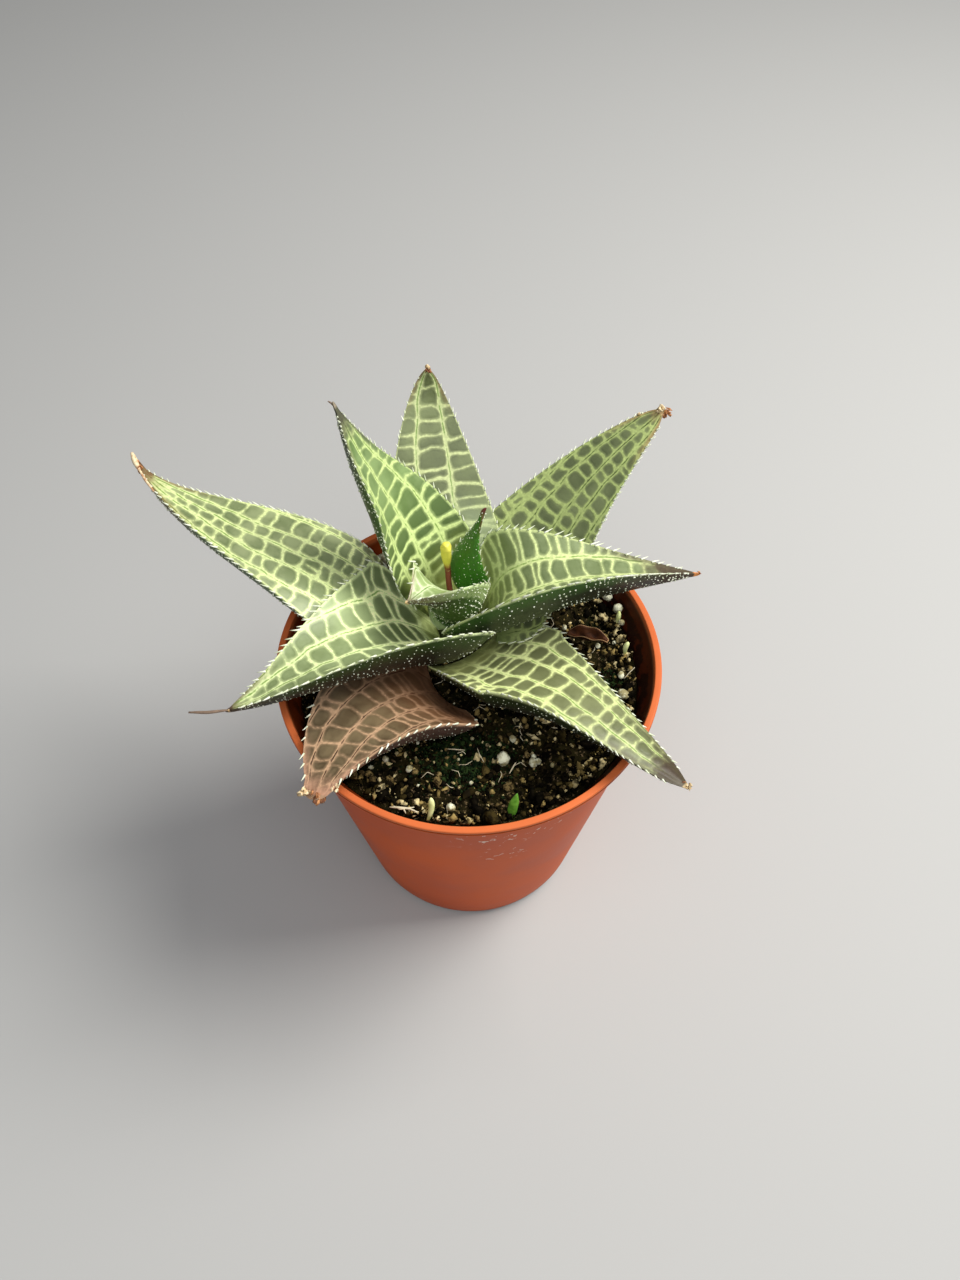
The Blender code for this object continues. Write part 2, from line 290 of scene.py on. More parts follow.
def drilled(thing, middles, radius, low, high):
    """Cut a round hole at each middle (x, y), from low to high, and keep the result as the object's mesh."""
    cutters = []
    for x, y in middles:
        points, faces = turned([(radius, high), (radius, low)], DRAIN_SIDES)
        cutter = solid("drain_cutter", points + np.array([x, y, 0.0]), faces, (), body=None)
        cut = thing.modifiers.new("drain", "BOOLEAN")
        cut.operation = "DIFFERENCE"
        cut.object = cutter
        cutters.append(cutter)
    bpy.context.view_layer.update()
    shown = thing.evaluated_get(bpy.context.evaluated_depsgraph_get())
    mesh = bpy.data.meshes.new_from_object(shown)
    thing.modifiers.clear()
    thing.data = mesh
    for cutter in cutters:
        bpy.data.objects.remove(cutter)


lip_low = POT_HEIGHT - LIP_HEIGHT
step_level = POT_HEIGHT - STEP_DROP
foot_radius = BASE_OUTER - STEP_IN - BASE_ROUND
pot_profile = np.concatenate([
    [(0.3, FLOOR_THICK), (8.0, FLOOR_THICK), (wall_radius(FLOOR_THICK) - WALL - 1.0, FLOOR_THICK)],
    [(wall_radius(FLOOR_THICK + 1.0) - WALL, FLOOR_THICK + 1.0)],
    [(wall_radius(level) - WALL, level) for level in np.linspace(8.0, step_level - 0.6, 9)],
    [(wall_radius(lip_low) - WALL, step_level + 0.4), (RIM_OUTER - LIP_HEIGHT - 0.1, POT_HEIGHT - 0.5)],
    arc(RIM_OUTER - LIP_HEIGHT + 0.18, POT_HEIGHT - 0.18, 0.18, 180, 90),
    arc(RIM_OUTER - 0.25, POT_HEIGHT - 0.25, 0.25, 90, 0),
    [(RIM_OUTER, lip_low + 0.58), (RIM_OUTER - LIP_GROOVE, lip_low + 0.50)],
    [(RIM_OUTER - LIP_GROOVE, lip_low + 0.34), (RIM_OUTER, lip_low + 0.26)],
    arc(RIM_OUTER - 0.12, lip_low + 0.12, 0.12, 0, -90, 4),
    [(wall_radius(lip_low), lip_low - 0.1), (wall_radius(step_level + 0.1), step_level + 0.15)],
    [(wall_radius(step_level - 0.3), step_level - 0.2)],
    [(wall_radius(level), level) for level in np.linspace(step_level - 0.6, BASE_ROUND + 1.0, 12)],
    arc(foot_radius, BASE_ROUND, BASE_ROUND, 0, -90, 9),
    [(8.0, 0.0), (0.3, 0.0)],
])

# The plastic: a faint cloudiness, lime in one patch close under the lip and one lower down, dust, soil
# stain and painted shade on the inside, a paler lip and a painted shade line in its groove.  Places are in
# metres, on the axes of the part.
WALL_SLOPE = 0.153
MID_WALL_AT_FOOT = 0.0184
pot_skin = Finish("pot_plastic")
pot_x, pot_y, pot_z = (pot_skin.axis(number) for number in range(3))
pot_radius = (pot_x * pot_x + pot_y * pot_y) ** 0.5
cloud = pot_skin.noise(60.0)
grain = pot_skin.noise(2600.0, 2.0)
plastic = pot_skin.blend(pot_skin.step(cloud, 0.3, 0.7), (0.50, 0.070, 0.007), (0.62, 0.100, 0.013))
lip_patch = (pot_skin.between(pot_z, 0.0400, 0.0455, 0.0480, 0.0488)
             * pot_skin.between(pot_x, -0.004, 0.003, 0.011, 0.016) * pot_skin.step(pot_y, -0.015, -0.020))
low_patch = (pot_skin.between(pot_z, 0.0330, 0.0360, 0.0390, 0.0420)
             * pot_skin.between(pot_x, 0.001, 0.003, 0.007, 0.009) * pot_skin.step(pot_y, -0.014, -0.018))
flecks = pot_skin.step(pot_skin.noise(750.0, 4.0, 0.6), 0.60, 0.66) * (lip_patch + low_patch * 0.6)
dust = pot_skin.step(pot_skin.noise(420.0, 4.0, 0.7), 0.62, 0.8) * pot_skin.step(pot_z, 0.0, 0.05) * 0.010
outwards_by = pot_radius - (pot_z * WALL_SLOPE + MID_WALL_AT_FOOT)
inner_wall = pot_skin.larger(
    pot_skin.step(outwards_by, 0.0, -0.0003) * pot_skin.step(pot_z, 0.0514, 0.0506),
    pot_skin.step(outwards_by, 0.0004, 0.0002) * pot_skin.between(pot_z, 0.0488, 0.0490, 0.0511, 0.0517))
soiled = pot_skin.step(pot_skin.noise(500.0), 0.42, 0.62) * pot_skin.step(pot_z, 0.0502, 0.0475)
# Soil stain and painted shade: the inner wall darkens, more so towards the right.
stain_and_shade = pot_skin.step(pot_x, 0.002, 0.016, 0.60, 0.90)
# Painted shade: a dark line in the lip's groove, under its outer bead.
painted_groove_shade = pot_skin.between(pot_z, 0.0512, 0.0513, 0.0515, 0.0516) * pot_skin.step(pot_radius, 0.0270, 0.0272)
# The inner wall turns near black: partly soil stain, partly painted shade below the rim.
plastic = pot_skin.blend(inner_wall * (soiled * 0.35 + stain_and_shade), plastic, (0.022, 0.007, 0.004))
plastic = pot_skin.blend(flecks + dust, plastic, (0.80, 0.72, 0.62))
plastic = pot_skin.blend(pot_skin.step(pot_z, 0.0508, 0.0516) * 0.09, plastic, (0.85, 0.68, 0.36))
# The painted shade line in the groove.
plastic = pot_skin.blend(painted_groove_shade * 0.75, plastic, (0.20, 0.028, 0.005))
pot_normal = pot_skin.bump(grain, 0.25, 0.00004, pot_skin.bump(cloud, 0.3, 0.0003))
pot_rough = pot_skin.step(cloud, 0.2, 0.8, 0.38, 0.50) + flecks * 0.3
pot_material = pot_skin.surface(plastic, pot_rough, pot_normal, Specular_IOR_Level=0.10)
pot = solid("pot_shell", *turned(pot_profile, POT_SEGMENTS), [pot_material])
drain_turns = [2.0 * math.pi * (number + 0.5) / DRAIN_HOLES for number in range(DRAIN_HOLES)]
drain_middles = [(DRAIN_CIRCLE * math.cos(turn), DRAIN_CIRCLE * math.sin(turn)) for turn in drain_turns]
drilled(pot, drain_middles, DRAIN_RADIUS, -1.0, FLOOR_THICK + 1.7)
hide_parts("pot")


# The soil is a dark peat mix that fills the pot to 5 mm below the rim, with a plain hole for the stem.
# Its top is crumbly: lumps of peat and bark, grit, beads of perlite, fine dry roots, some moss at the
# front, a few seedlings and one fallen leaf scale.
SOIL_TOP = 47.0
SOIL_MOUND = 0.5
MOUND_REACH = 22.0
SOIL_ROUGH = 0.35
STEM_X = -1.5
STEM_Y = 6.0
STEM_RADIUS = 4.0
STEM_FOOT = 33.0
CLEAR = 0.3
SOIL_SEGMENTS = 200
SOIL_RINGS = 90


def ripple(points, size, seed, octaves):
    """Smooth noise, mostly from -1 to 1: sums of seven sine waves in random directions.

    Each octave's waves are half as long and half as high as the last one's.
    """
    draw = np.random.default_rng(seed)
    total = np.zeros(len(points))
    height = 1.0
    for octave in range(octaves):
        ways = draw.normal(size=(7, points.shape[1]))
        ways *= 2.0 ** octave * 2.0 / size / np.linalg.norm(ways, axis=1)[:, None]
        total += height * np.sin(points @ ways.T + draw.uniform(0.0, 6.28, 7)).sum(1) / 3.0
        height *= 0.5
    return total / 1.6


def soil_height(x, y):
    """Height of the soil: a low mound that falls straight to its edge, and small lumps of crossed sines."""
    mound = SOIL_MOUND * np.maximum(0.0, 1.0 - np.hypot(x, y) / MOUND_REACH)
    lumps = np.sin(0.83 * x + 1.3) * np.cos(0.71 * y - 0.4) + 0.5 * np.sin(1.7 * x - 0.9 * y)
    return SOIL_TOP + mound + SOIL_ROUGH * lumps / 1.5


soil_turn = np.linspace(0.0, 2.0 * np.pi, SOIL_SEGMENTS, endpoint=False)
soil_edge = wall_radius(SOIL_TOP) - WALL - CLEAR
soil_hole = STEM_RADIUS + CLEAR
soil_share = np.linspace(0.0, 1.0, SOIL_RINGS)[:, None]
soil_radius = soil_hole + (soil_edge - soil_hole) * soil_share
soil_x = STEM_X * (1.0 - soil_share) + soil_radius * np.cos(soil_turn)
soil_y = STEM_Y * (1.0 - soil_share) + soil_radius * np.sin(soil_turn)
soil_flat = np.stack([soil_x, soil_y], -1).reshape(-1, 2)
crumble = 0.28 * ripple(soil_flat, 2.4, 11, 4) + 0.16 * np.abs(ripple(soil_flat, 0.9, 12, 2))
soil_z = soil_height(soil_x, soil_y) + crumble.reshape(soil_x.shape) - 0.15
soil_top = np.stack([soil_x, soil_y, soil_z], -1).reshape(-1, 3)
soil_side = [(wall_radius(FLOOR_THICK + 1.6) - WALL - CLEAR, FLOOR_THICK + 1.6),
             (wall_radius(FLOOR_THICK + 1.6) - WALL - CLEAR - 1.2, FLOOR_THICK + CLEAR)]
hole_foot = turn_profile([(soil_hole, STEM_FOOT - CLEAR)], SOIL_SEGMENTS) + np.array([STEM_X, STEM_Y, 0.0])
soil_points = np.concatenate([hole_foot, soil_top, turn_profile(soil_side, SOIL_SEGMENTS)])

peat = Finish("peat")
peat_lump = peat.noise(420.0, 5.0, 0.65)
peat_fine = peat.noise(1900.0, 4.0, 0.7)
peat_wide = peat.noise(120.0, 2.0)
peat_colour = peat.blend(peat.step(peat_lump, 0.35, 0.65), (0.002, 0.0016, 0.0008), (0.020, 0.016, 0.005))
peat_colour = peat.blend(peat.step(peat_fine, 0.57, 0.66) * 0.8, peat_colour, (0.20, 0.135, 0.07))
peat_colour = peat.blend(peat.step(peat_wide, 0.55, 0.7) * 0.5, peat_colour, (0.012, 0.020, 0.006))
peat_normal = peat.bump(peat_fine, 0.8, 0.0004, peat.bump(peat_lump, 0.9, 0.0008))
peat_material = peat.surface(peat_colour, 0.95, peat_normal, Specular_IOR_Level=0.03)
soil = solid("soil_fill", soil_points, capped(SOIL_RINGS + 3, SOIL_SEGMENTS), [peat_material])
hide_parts("soil")

# Crumbs of peat and fine grit lie loosely all over the soil, near black to straw-coloured, and bank up
# along the wall.  The first places drawn are kept wherever they fall, the others only near the wall.
CRUMB_DRAWS = (3000, 5000)
CRUMBS_ALL_OVER = 2900
BANK_REACH = 3.0


def ball(rings, sides):
    """A unit ball, flattened at its poles: each ring's radius is the root of 1 minus its height squared."""
    rise = np.linspace(0.96, -0.96, rings)
    return turned(np.stack([np.sqrt(1.0 - rise ** 2), rise], 1), sides)


def copies(faces, count, each):
    """The faces of one body, repeated for count bodies of so many points each."""
    return [[corner + start for corner in face] for start in range(0, count * each, each) for face in faces]


def scatter(shape, places, sizes, spin, rough, seed):
    """Copies of one shape: each is scaled by three sizes, dented by noise, turned and put in its place."""
    unit, faces = shape
    draw = np.random.default_rng(seed)
    count = len(places)
    dents = 1.0 + rough * np.clip(draw.normal(size=(count, len(unit))), -1.5, 1.5)
    points = unit[None] * dents[..., None] * sizes[:, None, :]
    lean = draw.normal(size=(count, 3)) * spin
    for axis in range(3):
        other, third = [(1, 2), (2, 0), (0, 1)][axis]
        sine, cosine = np.sin(lean[:, axis])[:, None], np.cos(lean[:, axis])[:, None]
        first, second = points[..., other].copy(), points[..., third].copy()
        points[..., other] = first * cosine - second * sine
        points[..., third] = first * sine + second * cosine
    return (points + places[:, None, :]).reshape(-1, 3), copies(faces, count, len(unit))


def on_soil(draw, count, lift=0.0):
    """Random places on the soil, between the stem and the wall."""
    turn = draw.uniform(0.0, 2.0 * np.pi, count)
    radius = np.sqrt(draw.uniform(0.0, 1.0, count)) * (soil_edge - 0.5)
    x, y = radius * np.cos(turn), radius * np.sin(turn)
    keep = np.hypot(x - STEM_X, y - STEM_Y) > STEM_RADIUS + 0.6
    x, y = x[keep], y[keep]
    return np.stack([x, y, soil_height(x, y) + lift], 1)


def by_wall(places):
    """Nearness of places to the wall: 1 at the soil's edge, and 0 from BANK_REACH inwards."""
    return np.clip(1.0 - (soil_edge - np.hypot(places[:, 0], places[:, 1])) / BANK_REACH, 0.0, 1.0)


def heap(places, x, y, height, breadth):
    """A round heap: its height times e to the power of minus the squared distance over its breadth."""
    return height * np.exp(-((places[:, 0] - x) ** 2 + (places[:, 1] - y) ** 2) / breadth)


crumb_draw = np.random.default_rng(21)
crumb_places = np.concatenate([on_soil(crumb_draw, count) for count in CRUMB_DRAWS])
first_ones = np.arange(len(crumb_places)) < CRUMBS_ALL_OVER
crumb_places = crumb_places[first_ones | (by_wall(crumb_places) > 0.0)]
crumb_count = len(crumb_places)
bank_height = 1.5 + heap(crumb_places, -14.5, 19.8, 1.7, 40.0) + heap(crumb_places, 24.0, 1.0, 1.1, 90.0)
crumb_places[:, 2] += bank_height * by_wall(crumb_places) * crumb_draw.uniform(0.3, 1.0, crumb_count)
crumb_size = crumb_draw.lognormal(-1.30, 0.50, crumb_count).clip(0.11, 0.95)
crumb_shape = np.stack([crumb_draw.uniform(low, high, crumb_count)
                        for low, high in ((0.9, 1.9), (0.5, 1.0), (0.4, 0.9))], 1)
crumb_size = crumb_size[:, None] * crumb_shape
crumb_points, crumb_faces = scatter(ball(4, 5), crumb_places, crumb_size, 1.5, 0.26, 22)
crumb_tint = 0.62 * crumb_draw.uniform(0.0, 1.0, crumb_count)
crumb_tint += 0.38 * (0.5 + 0.5 * ripple(crumb_places, 4.5, 23, 2))
crumb_tint = np.repeat(crumb_tint, len(crumb_points) // crumb_count)
crumb = Finish("peat_crumbs")
tint = crumb.attribute("tint")
crumb_colour = crumb.blend(crumb.step(tint, 0.42, 0.62), (0.002, 0.0015, 0.0006), (0.050, 0.036, 0.010))
crumb_colour = crumb.blend(crumb.step(tint, 0.56, 0.68), crumb_colour, (0.32, 0.23, 0.080))
crumb_colour = crumb.blend(crumb.step(tint, 0.72, 0.80), crumb_colour, (0.70, 0.58, 0.30))
crumb_dark = crumb.step(crumb.noise(900.0), 0.52, 0.38) * 0.85
crumb_colour = crumb.blend(crumb_dark, crumb_colour, (0.008, 0.006, 0.003))
crumb_normal = crumb.bump(crumb.noise(2600.0), 0.7, 0.0003)
crumb_material = crumb.surface(crumb_colour, 0.95, crumb_normal, Specular_IOR_Level=0.04)
crumbs = solid("peat_crumbs", crumb_points, crumb_faces, [crumb_material], attributes={"tint": crumb_tint})

# Bigger lumps of bark and peat lie among the crumbs, brown to straw-coloured: chipped pieces that were
# mixed into the soil, half sunk in it or resting on it.
LUMP_COUNT = 330
LUMP_BANK = 1.3
lump_draw = np.random.default_rng(26)
lump_places = on_soil(lump_draw, LUMP_COUNT, 0.25)
lump_places[:, 2] += LUMP_BANK * by_wall(lump_places)
lump_size = lump_draw.lognormal(-0.85, 0.32, len(lump_places)).clip(0.22, 0.80)
lump_shape = lump_draw.uniform(0.5, 1.25, (len(lump_places), 3)) * np.array([1.2, 0.9, 0.75])
lump_points, lump_faces = scatter(ball(6, 9), lump_places, lump_size[:, None] * lump_shape, 1.5, 0.17, 27)
lump_tint = np.repeat(lump_draw.uniform(0.0, 1.0, len(lump_places)), len(lump_points) // len(lump_places))
lump = Finish("bark_lumps")
lump_grain = lump.noise(1500.0, 5.0, 0.7)
tint = lump.attribute("tint")
lump_colour = lump.blend(lump.step(tint, 0.25, 0.75), (0.020, 0.013, 0.005), (0.24, 0.17, 0.065))
lump_colour = lump.blend(lump.step(tint, 0.86, 0.94), lump_colour, (0.62, 0.52, 0.26))
lump_colour = lump.blend(lump.step(lump_grain, 0.54, 0.42) * 0.9, lump_colour, (0.006, 0.004, 0.002))
lump_material = lump.surface(lump_colour, 0.95, lump.bump(lump_grain, 0.8, 0.0004), Specular_IOR_Level=0.04)
lumps = solid("bark_lumps", lump_points, lump_faces, [lump_material], attributes={"tint": lump_tint})


# Perlite is heat-puffed volcanic glass: white, light, rounded beads.  The small ones lie anywhere, and
# the large ones, given as x, y and radius, where the photograph shows them.
def two_tone(name, dark, pale, rough, scale, band=(0.35, 0.65), relief=(0.4, 0.0002), grain=None, detail=3.0,
             **constants):
    """A material of two colours, mixed by noise, with a smooth step over the band where there is one.

    The same noise is raised as relief of a strength and a height, or a finer grain in its place.
    """
    finish = Finish(name)
    tone = finish.noise(scale, detail)
    colour = finish.blend(finish.step(tone, *band) if band else tone, dark, pale)
    height = finish.noise(grain, 2.0) if grain else tone
    return finish.surface(colour, rough, finish.bump(height, *relief), **constants)


SMALL_BEADS = 55
perlite_draw = np.random.default_rng(31)
perlite_places = on_soil(perlite_draw, SMALL_BEADS, 0.2)
perlite_sizes = perlite_draw.uniform(0.15, 0.45, (len(perlite_places), 1))
perlite_sizes = perlite_sizes * perlite_draw.uniform(0.7, 1.2, (len(perlite_places), 3))
seen_x, seen_y, seen_size = np.array([
    (4.8, -14.4, 0.95), (8.9, -14.9, 0.65), (9.6, -14.6, 0.5), (-2.3, -22.0, 0.62), (6.2, -11.2, 0.5),
    (21.0, 13.0, 0.8), (22.4, 10.6, 0.75), (22.7, 8.0, 0.5), (22.2, -4.0, 0.85), (22.1, -0.8, 0.5),
    (19.4, 6.6, 0.6), (0.5, -11.0, 0.3), (-8.2, -15.9, 0.5), (-11.5, -14.3, 0.45),
    (-13.6, 20.2, 0.85), (-15.2, 18.4, 0.6)]).T
seen_lift = 0.45 + 1.6 * np.clip((np.hypot(seen_x, seen_y) - 21.0) / BANK_REACH, 0.0, 1.0)
seen_places = np.stack([seen_x, seen_y, soil_height(seen_x, seen_y) + seen_lift], 1)
perlite_places = np.concatenate([perlite_places, seen_places])
perlite_sizes = np.concatenate([perlite_sizes, seen_size[:, None] * np.array([1.0, 0.85, 1.15])])
perlite_points, perlite_faces = scatter(ball(7, 10), perlite_places, perlite_sizes, 0.5, 0.09, 32)
perlite_material = two_tone("perlite", (0.30, 0.26, 0.12), (0.80, 0.80, 0.58), 0.75, 900.0, (0.40, 0.58),
                            (0.5, 0.0002), 3000.0)
perlite = solid("perlite_beads", perlite_points, perlite_faces, [perlite_material])


def unit(vectors):
    """Vectors divided by their lengths."""
    return vectors / np.linalg.norm(vectors, axis=-1, keepdims=True)


def spokes(ahead, guide, sides):
    """Unit vectors all round each direction: one side times the cosine plus the other times the sine.

    The sides come from the cross product with a guide, any way that is well off all the directions.
    """
    side = unit(np.cross(ahead, guide))
    other = unit(np.cross(ahead, side))
    turn = np.linspace(0.0, 2.0 * np.pi, sides, endpoint=False)
    return side[:, None] * np.cos(turn)[:, None] + other[:, None] * np.sin(turn)[:, None]


def thread(points, radius, sides=6, count=14):
    """A thin tube along a line through a few points; its ends thin out by the root of a sine."""
    points = np.asarray(points, dtype=float)
    at = np.linspace(0.0, 1.0, count)
    knots = np.linspace(0.0, 1.0, len(points))
    line = np.stack([np.interp(at, knots, points[:, axis]) for axis in range(3)], 1)
    width = radius * (0.25 + 0.75 * np.sin(np.pi * np.clip(at, 0.06, 0.94)) ** 0.5)
    around = spokes(np.gradient(line, axis=0), (0.31, 0.27, 0.91), sides)
    return (line[:, None] + around * width[:, None, None]).reshape(-1, 3), capped(count, sides)


def together(pieces):
    """Several point and face lists as one."""
    points, faces, start = [], [], 0
    for some_points, some_faces in pieces:
        points.append(some_points)
        faces += [[corner + start for corner in face] for face in some_faces]
        start += len(some_points)
    return np.concatenate(points), faces


# Fine dry roots and bristles lie on the soil, pale straw in colour.  Short bowed ones lie anywhere inside
# the bank, and the longer ones, with a wisp of straw at the front left, where the photograph shows them.
ROOT_COUNT = 90
SEEN_THREADS = [
    (0.07, [(22.3, -2.2, 49.4), (23.0, -1.6, 50.0), (23.8, -1.0, 50.5)]),
    (0.10, [(5.6, -16.8, 48.0), (6.1, -16.0, 48.4), (6.5, -15.4, 48.6)]),
    (0.08, [(-3.0, -12.9, 47.9), (-1.8, -13.2, 48.3), (-0.5, -13.1, 47.9)]),
    (0.07, [(1.2, -12.8, 48.0), (1.5, -14.0, 48.4), (2.1, -15.0, 48.0)]),
    (0.17, [(-10.5, -22.1, 48.5), (-9.3, -22.3, 48.8), (-7.9, -22.3, 48.5), (-6.7, -23.0, 48.8)]),
    (0.11, [(-8.7, -22.2, 48.5), (-8.5, -22.7, 48.8), (-8.3, -23.0, 48.5)]),
    (0.12, [(-10.0, -21.9, 48.5), (-9.1, -22.5, 48.7), (-7.2, -22.1, 48.5)]),
]
root_draw = np.random.default_rng(51)
root_starts = on_soil(root_draw, ROOT_COUNT, 0.35)
root_turns, root_rises, root_lengths = (root_draw.uniform(low, high, len(root_starts))
                                        for low, high in ((0.0, 6.28), (0.0, 0.4), (0.8, 2.4)))
root_lines = []
for start, turn, rise, length in zip(root_starts, root_turns, root_rises, root_lengths):
    if np.hypot(*start[:2]) < soil_edge - BANK_REACH:
        middle = start + np.array([np.cos(turn), np.sin(turn), rise]) * length * 0.5 + (0.0, 0.0, 0.15)
        end = start + np.array([np.cos(turn + 0.5), np.sin(turn + 0.5), 0.0]) * length
        root_lines.append(thread([start, middle, end], 0.05))
root_lines += [thread(line, radius) for radius, line in SEEN_THREADS]
root_material = two_tone("dry_roots", (0.42, 0.33, 0.19), (0.78, 0.72, 0.52), 0.7, 900.0, None, (0.3, 0.0001),
                         detail=2.0)
roots = solid("dry_roots", *together(root_lines), [root_material])

# Moss grows on the damp peat in front of the rosette and by the right wall: low mats of fine green
# tufts, each about half a millimetre long, rooted in the soil.  A mat has a count of tufts, a spread in
# x and y, and a middle.
MOSS_MATS = ((1300, (3.4, 2.3), (-0.6, -13.9)), (260, (1.5, 2.4), (20.5, -3.5)))
moss_draw = np.random.default_rng(61)
moss_at = np.concatenate([moss_draw.normal(size=(count, 2)) * spread + middle
                          for count, spread, middle in MOSS_MATS])
moss_at = moss_at[np.hypot(moss_at[:, 0], moss_at[:, 1]) < soil_edge - 0.8]
moss_roots = np.stack([moss_at[:, 0], moss_at[:, 1], soil_height(moss_at[:, 0], moss_at[:, 1]) + 0.12], 1)
moss_sizes = moss_draw.uniform(0.10, 0.26, (len(moss_roots), 1)) * (1.0, 1.0, 1.3)
moss_points, moss_faces = scatter(ball(3, 5), moss_roots, moss_sizes, 1.5, 0.3, 62)
moss_material = two_tone("moss", (0.003, 0.008, 0.003), (0.022, 0.040, 0.010), 0.95, 1100.0, (0.4, 0.65),
                         (0.6, 0.0002), 3500.0, Specular_IOR_Level=0.05)
moss = solid("moss_mat", moss_points, moss_faces, [moss_material])


def sprout(foot, top, width, thick, sharp=1.0, flare=0.0, bend=0.0, rows=12, sides=10):
    """A small upright tongue: an oval tube up to a rounded or sharper top, bowed to one side by a sine.

    Its width shrinks towards the foot where flare is above nought, and grows where it is below.
    """
    at = np.linspace(0.0, 1.0, rows)
    line = np.asarray(foot) + (np.asarray(top) - np.asarray(foot)) * at[:, None]
    line[:, 0] += bend * np.sin(np.pi * at)
    swell = np.sqrt(np.clip(1.0 - np.clip((at - 0.6) / 0.41, 0.0, 1.0) ** 2, 0.02, 1.0))
    swell = (swell * (0.75 + 0.25 * np.sin(at * 3.0))) ** sharp * (1.0 - flare * (1.0 - at))
    turn = np.linspace(0.0, 2.0 * np.pi, sides, endpoint=False)
    ring = np.stack([np.cos(turn) * width, np.sin(turn) * thick, np.zeros(sides)], 1)
    return (line[:, None] + ring * swell[:, None, None]).reshape(-1, 3), capped(rows, sides)


# A few seedlings have come up: one green tongue at the front, and some pale ones there and by the right
# wall.  Each is a soft shoot that stands in the soil.
green_parts = sprout((5.8, -22.9, 46.8), (6.5, -21.3, 51.0), 0.58, 0.22, 1.6, -0.35, -0.15)
pale_parts = together([sprout((-5.4, -23.3, 47.0), (-4.9, -21.7, 50.4), 0.52, 0.35, 0.8, 0.45, 0.25),
                       sprout((23.0, 3.0, 48.2), (23.2, 3.3, 50.6), 0.48, 0.5, 0.8, 0.4, -0.2),
                       sprout((22.3, 8.8, 48.2), (22.4, 9.3, 50.2), 0.38, 0.45)])
for label, parts, dark, pale in (
        ("seedling_green", green_parts, (0.07, 0.22, 0.015), (0.16, 0.40, 0.04)),
        ("seedling_pale", pale_parts, (0.54, 0.60, 0.20), (0.85, 0.90, 0.42))):
    shoot = solid(label, *parts, [two_tone(label, dark, pale, 0.5, 800.0, relief=(0.3, 0.0002))])

# One dry brown leaf scale has fallen on the soil at the right: a thin papery tongue, curled up along both
# edges, which are paler as a painted highlight.
SCALE_ROWS = 24
SCALE_COLUMNS = 12
SCALE_HALF = 1.10
SCALE_THICK = 0.16
at = np.linspace(0.0, 1.0, SCALE_ROWS)[:, None]
u = np.linspace(-1.0, 1.0, SCALE_COLUMNS)[None, :]
bulge = np.sin(np.pi * np.clip(at * 0.93 + 0.05, 0.0, 1.0)) ** 0.6
scale_x = 14.6 + 5.9 * at + 0.15 * u
scale_y = 6.6 - 2.0 * at + SCALE_HALF * bulge * u
scale_z = 48.1 + 0.9 * at + 1.5 * u ** 2 * bulge + 0.20 * np.sin(14.0 * at + 4.0 * u)
scale_top = np.stack([scale_x, scale_y, scale_z], -1)
scale_low = (scale_top - (0.0, 0.0, SCALE_THICK))[:, ::-1]
scale_points = np.concatenate([scale_top, scale_low], 1).reshape(-1, 3)
scale_rim_highlight = np.maximum(np.tile(np.abs(u), (SCALE_ROWS, 2)), at ** 6 * 1.05)
chaff = Finish("dry_scale")
chaff_tone = chaff.noise(600.0)
chaff_colour = chaff.blend(chaff.step(chaff_tone, 0.3, 0.7), (0.022, 0.008, 0.004), (0.105, 0.034, 0.011))
# Painted highlight: the curled edges are paler.
chaff_colour = chaff.blend(chaff.step(chaff.attribute("rim"), 0.93, 1.00), chaff_colour, (0.46, 0.27, 0.13))
chaff_normal = chaff.bump(chaff_tone, 0.5, 0.0003)
chaff_material = chaff.surface(chaff_colour, 0.6, chaff_normal, Specular_IOR_Level=0.15)
scale = solid("dry_scale", scale_points, capped(SCALE_ROWS, 2 * SCALE_COLUMNS), [chaff_material],
              attributes={"rim": scale_rim_highlight.ravel()})


# The stem is short and stout, hidden in the soil and between the leaf bases.  It is woody and brown with
# old scars, greener at its top, and every leaf grows from it.
STEM_SHOULDER = 47.6
STEM_TOP = 54.5
STEM_TIP_RADIUS = 1.6
STEM_SEGMENTS = 64

stem_neck = STEM_TOP - 0.8
stem_profile = np.concatenate([
    [(0.2, STEM_TOP), (STEM_TIP_RADIUS * 0.7, STEM_TOP - 0.15), (STEM_TIP_RADIUS, stem_neck)],
    [(STEM_TIP_RADIUS + (STEM_RADIUS - STEM_TIP_RADIUS) * share ** 0.9,
      stem_neck - (stem_neck - STEM_SHOULDER) * share) for share in np.linspace(0.1, 1.0, 10)],
    [(STEM_RADIUS, level) for level in np.linspace(STEM_SHOULDER - 0.4, STEM_FOOT + 3.0, 20)],
    [(STEM_RADIUS * 0.6, STEM_FOOT + 0.6), (0.2, STEM_FOOT)],
])
stem_points, stem_faces = turned(stem_profile, STEM_SEGMENTS)
stem_rough = 1.0 - 0.035 * (1.0 + ripple(stem_points, 1.6, 41, 3))
stem_points[:, :2] *= stem_rough[:, None]
stem_points += np.array([STEM_X, STEM_Y, 0.0])
scarred = Finish("stem_bark")
scar_tone = scarred.noise(500.0, 4.0)
stem_colour = scarred.blend(scarred.step(scar_tone, 0.35, 0.65), (0.035, 0.030, 0.010), (0.16, 0.15, 0.05))
stem_colour = scarred.blend(scarred.step(scarred.axis(2), 0.048, 0.051), stem_colour, (0.10, 0.13, 0.035))
stem_material = scarred.surface(stem_colour, 0.7, scarred.bump(scarred.noise(1500.0), 0.7, 0.0003))
stem = solid("stem_crown", stem_points, stem_faces, [stem_material])
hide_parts("stem")


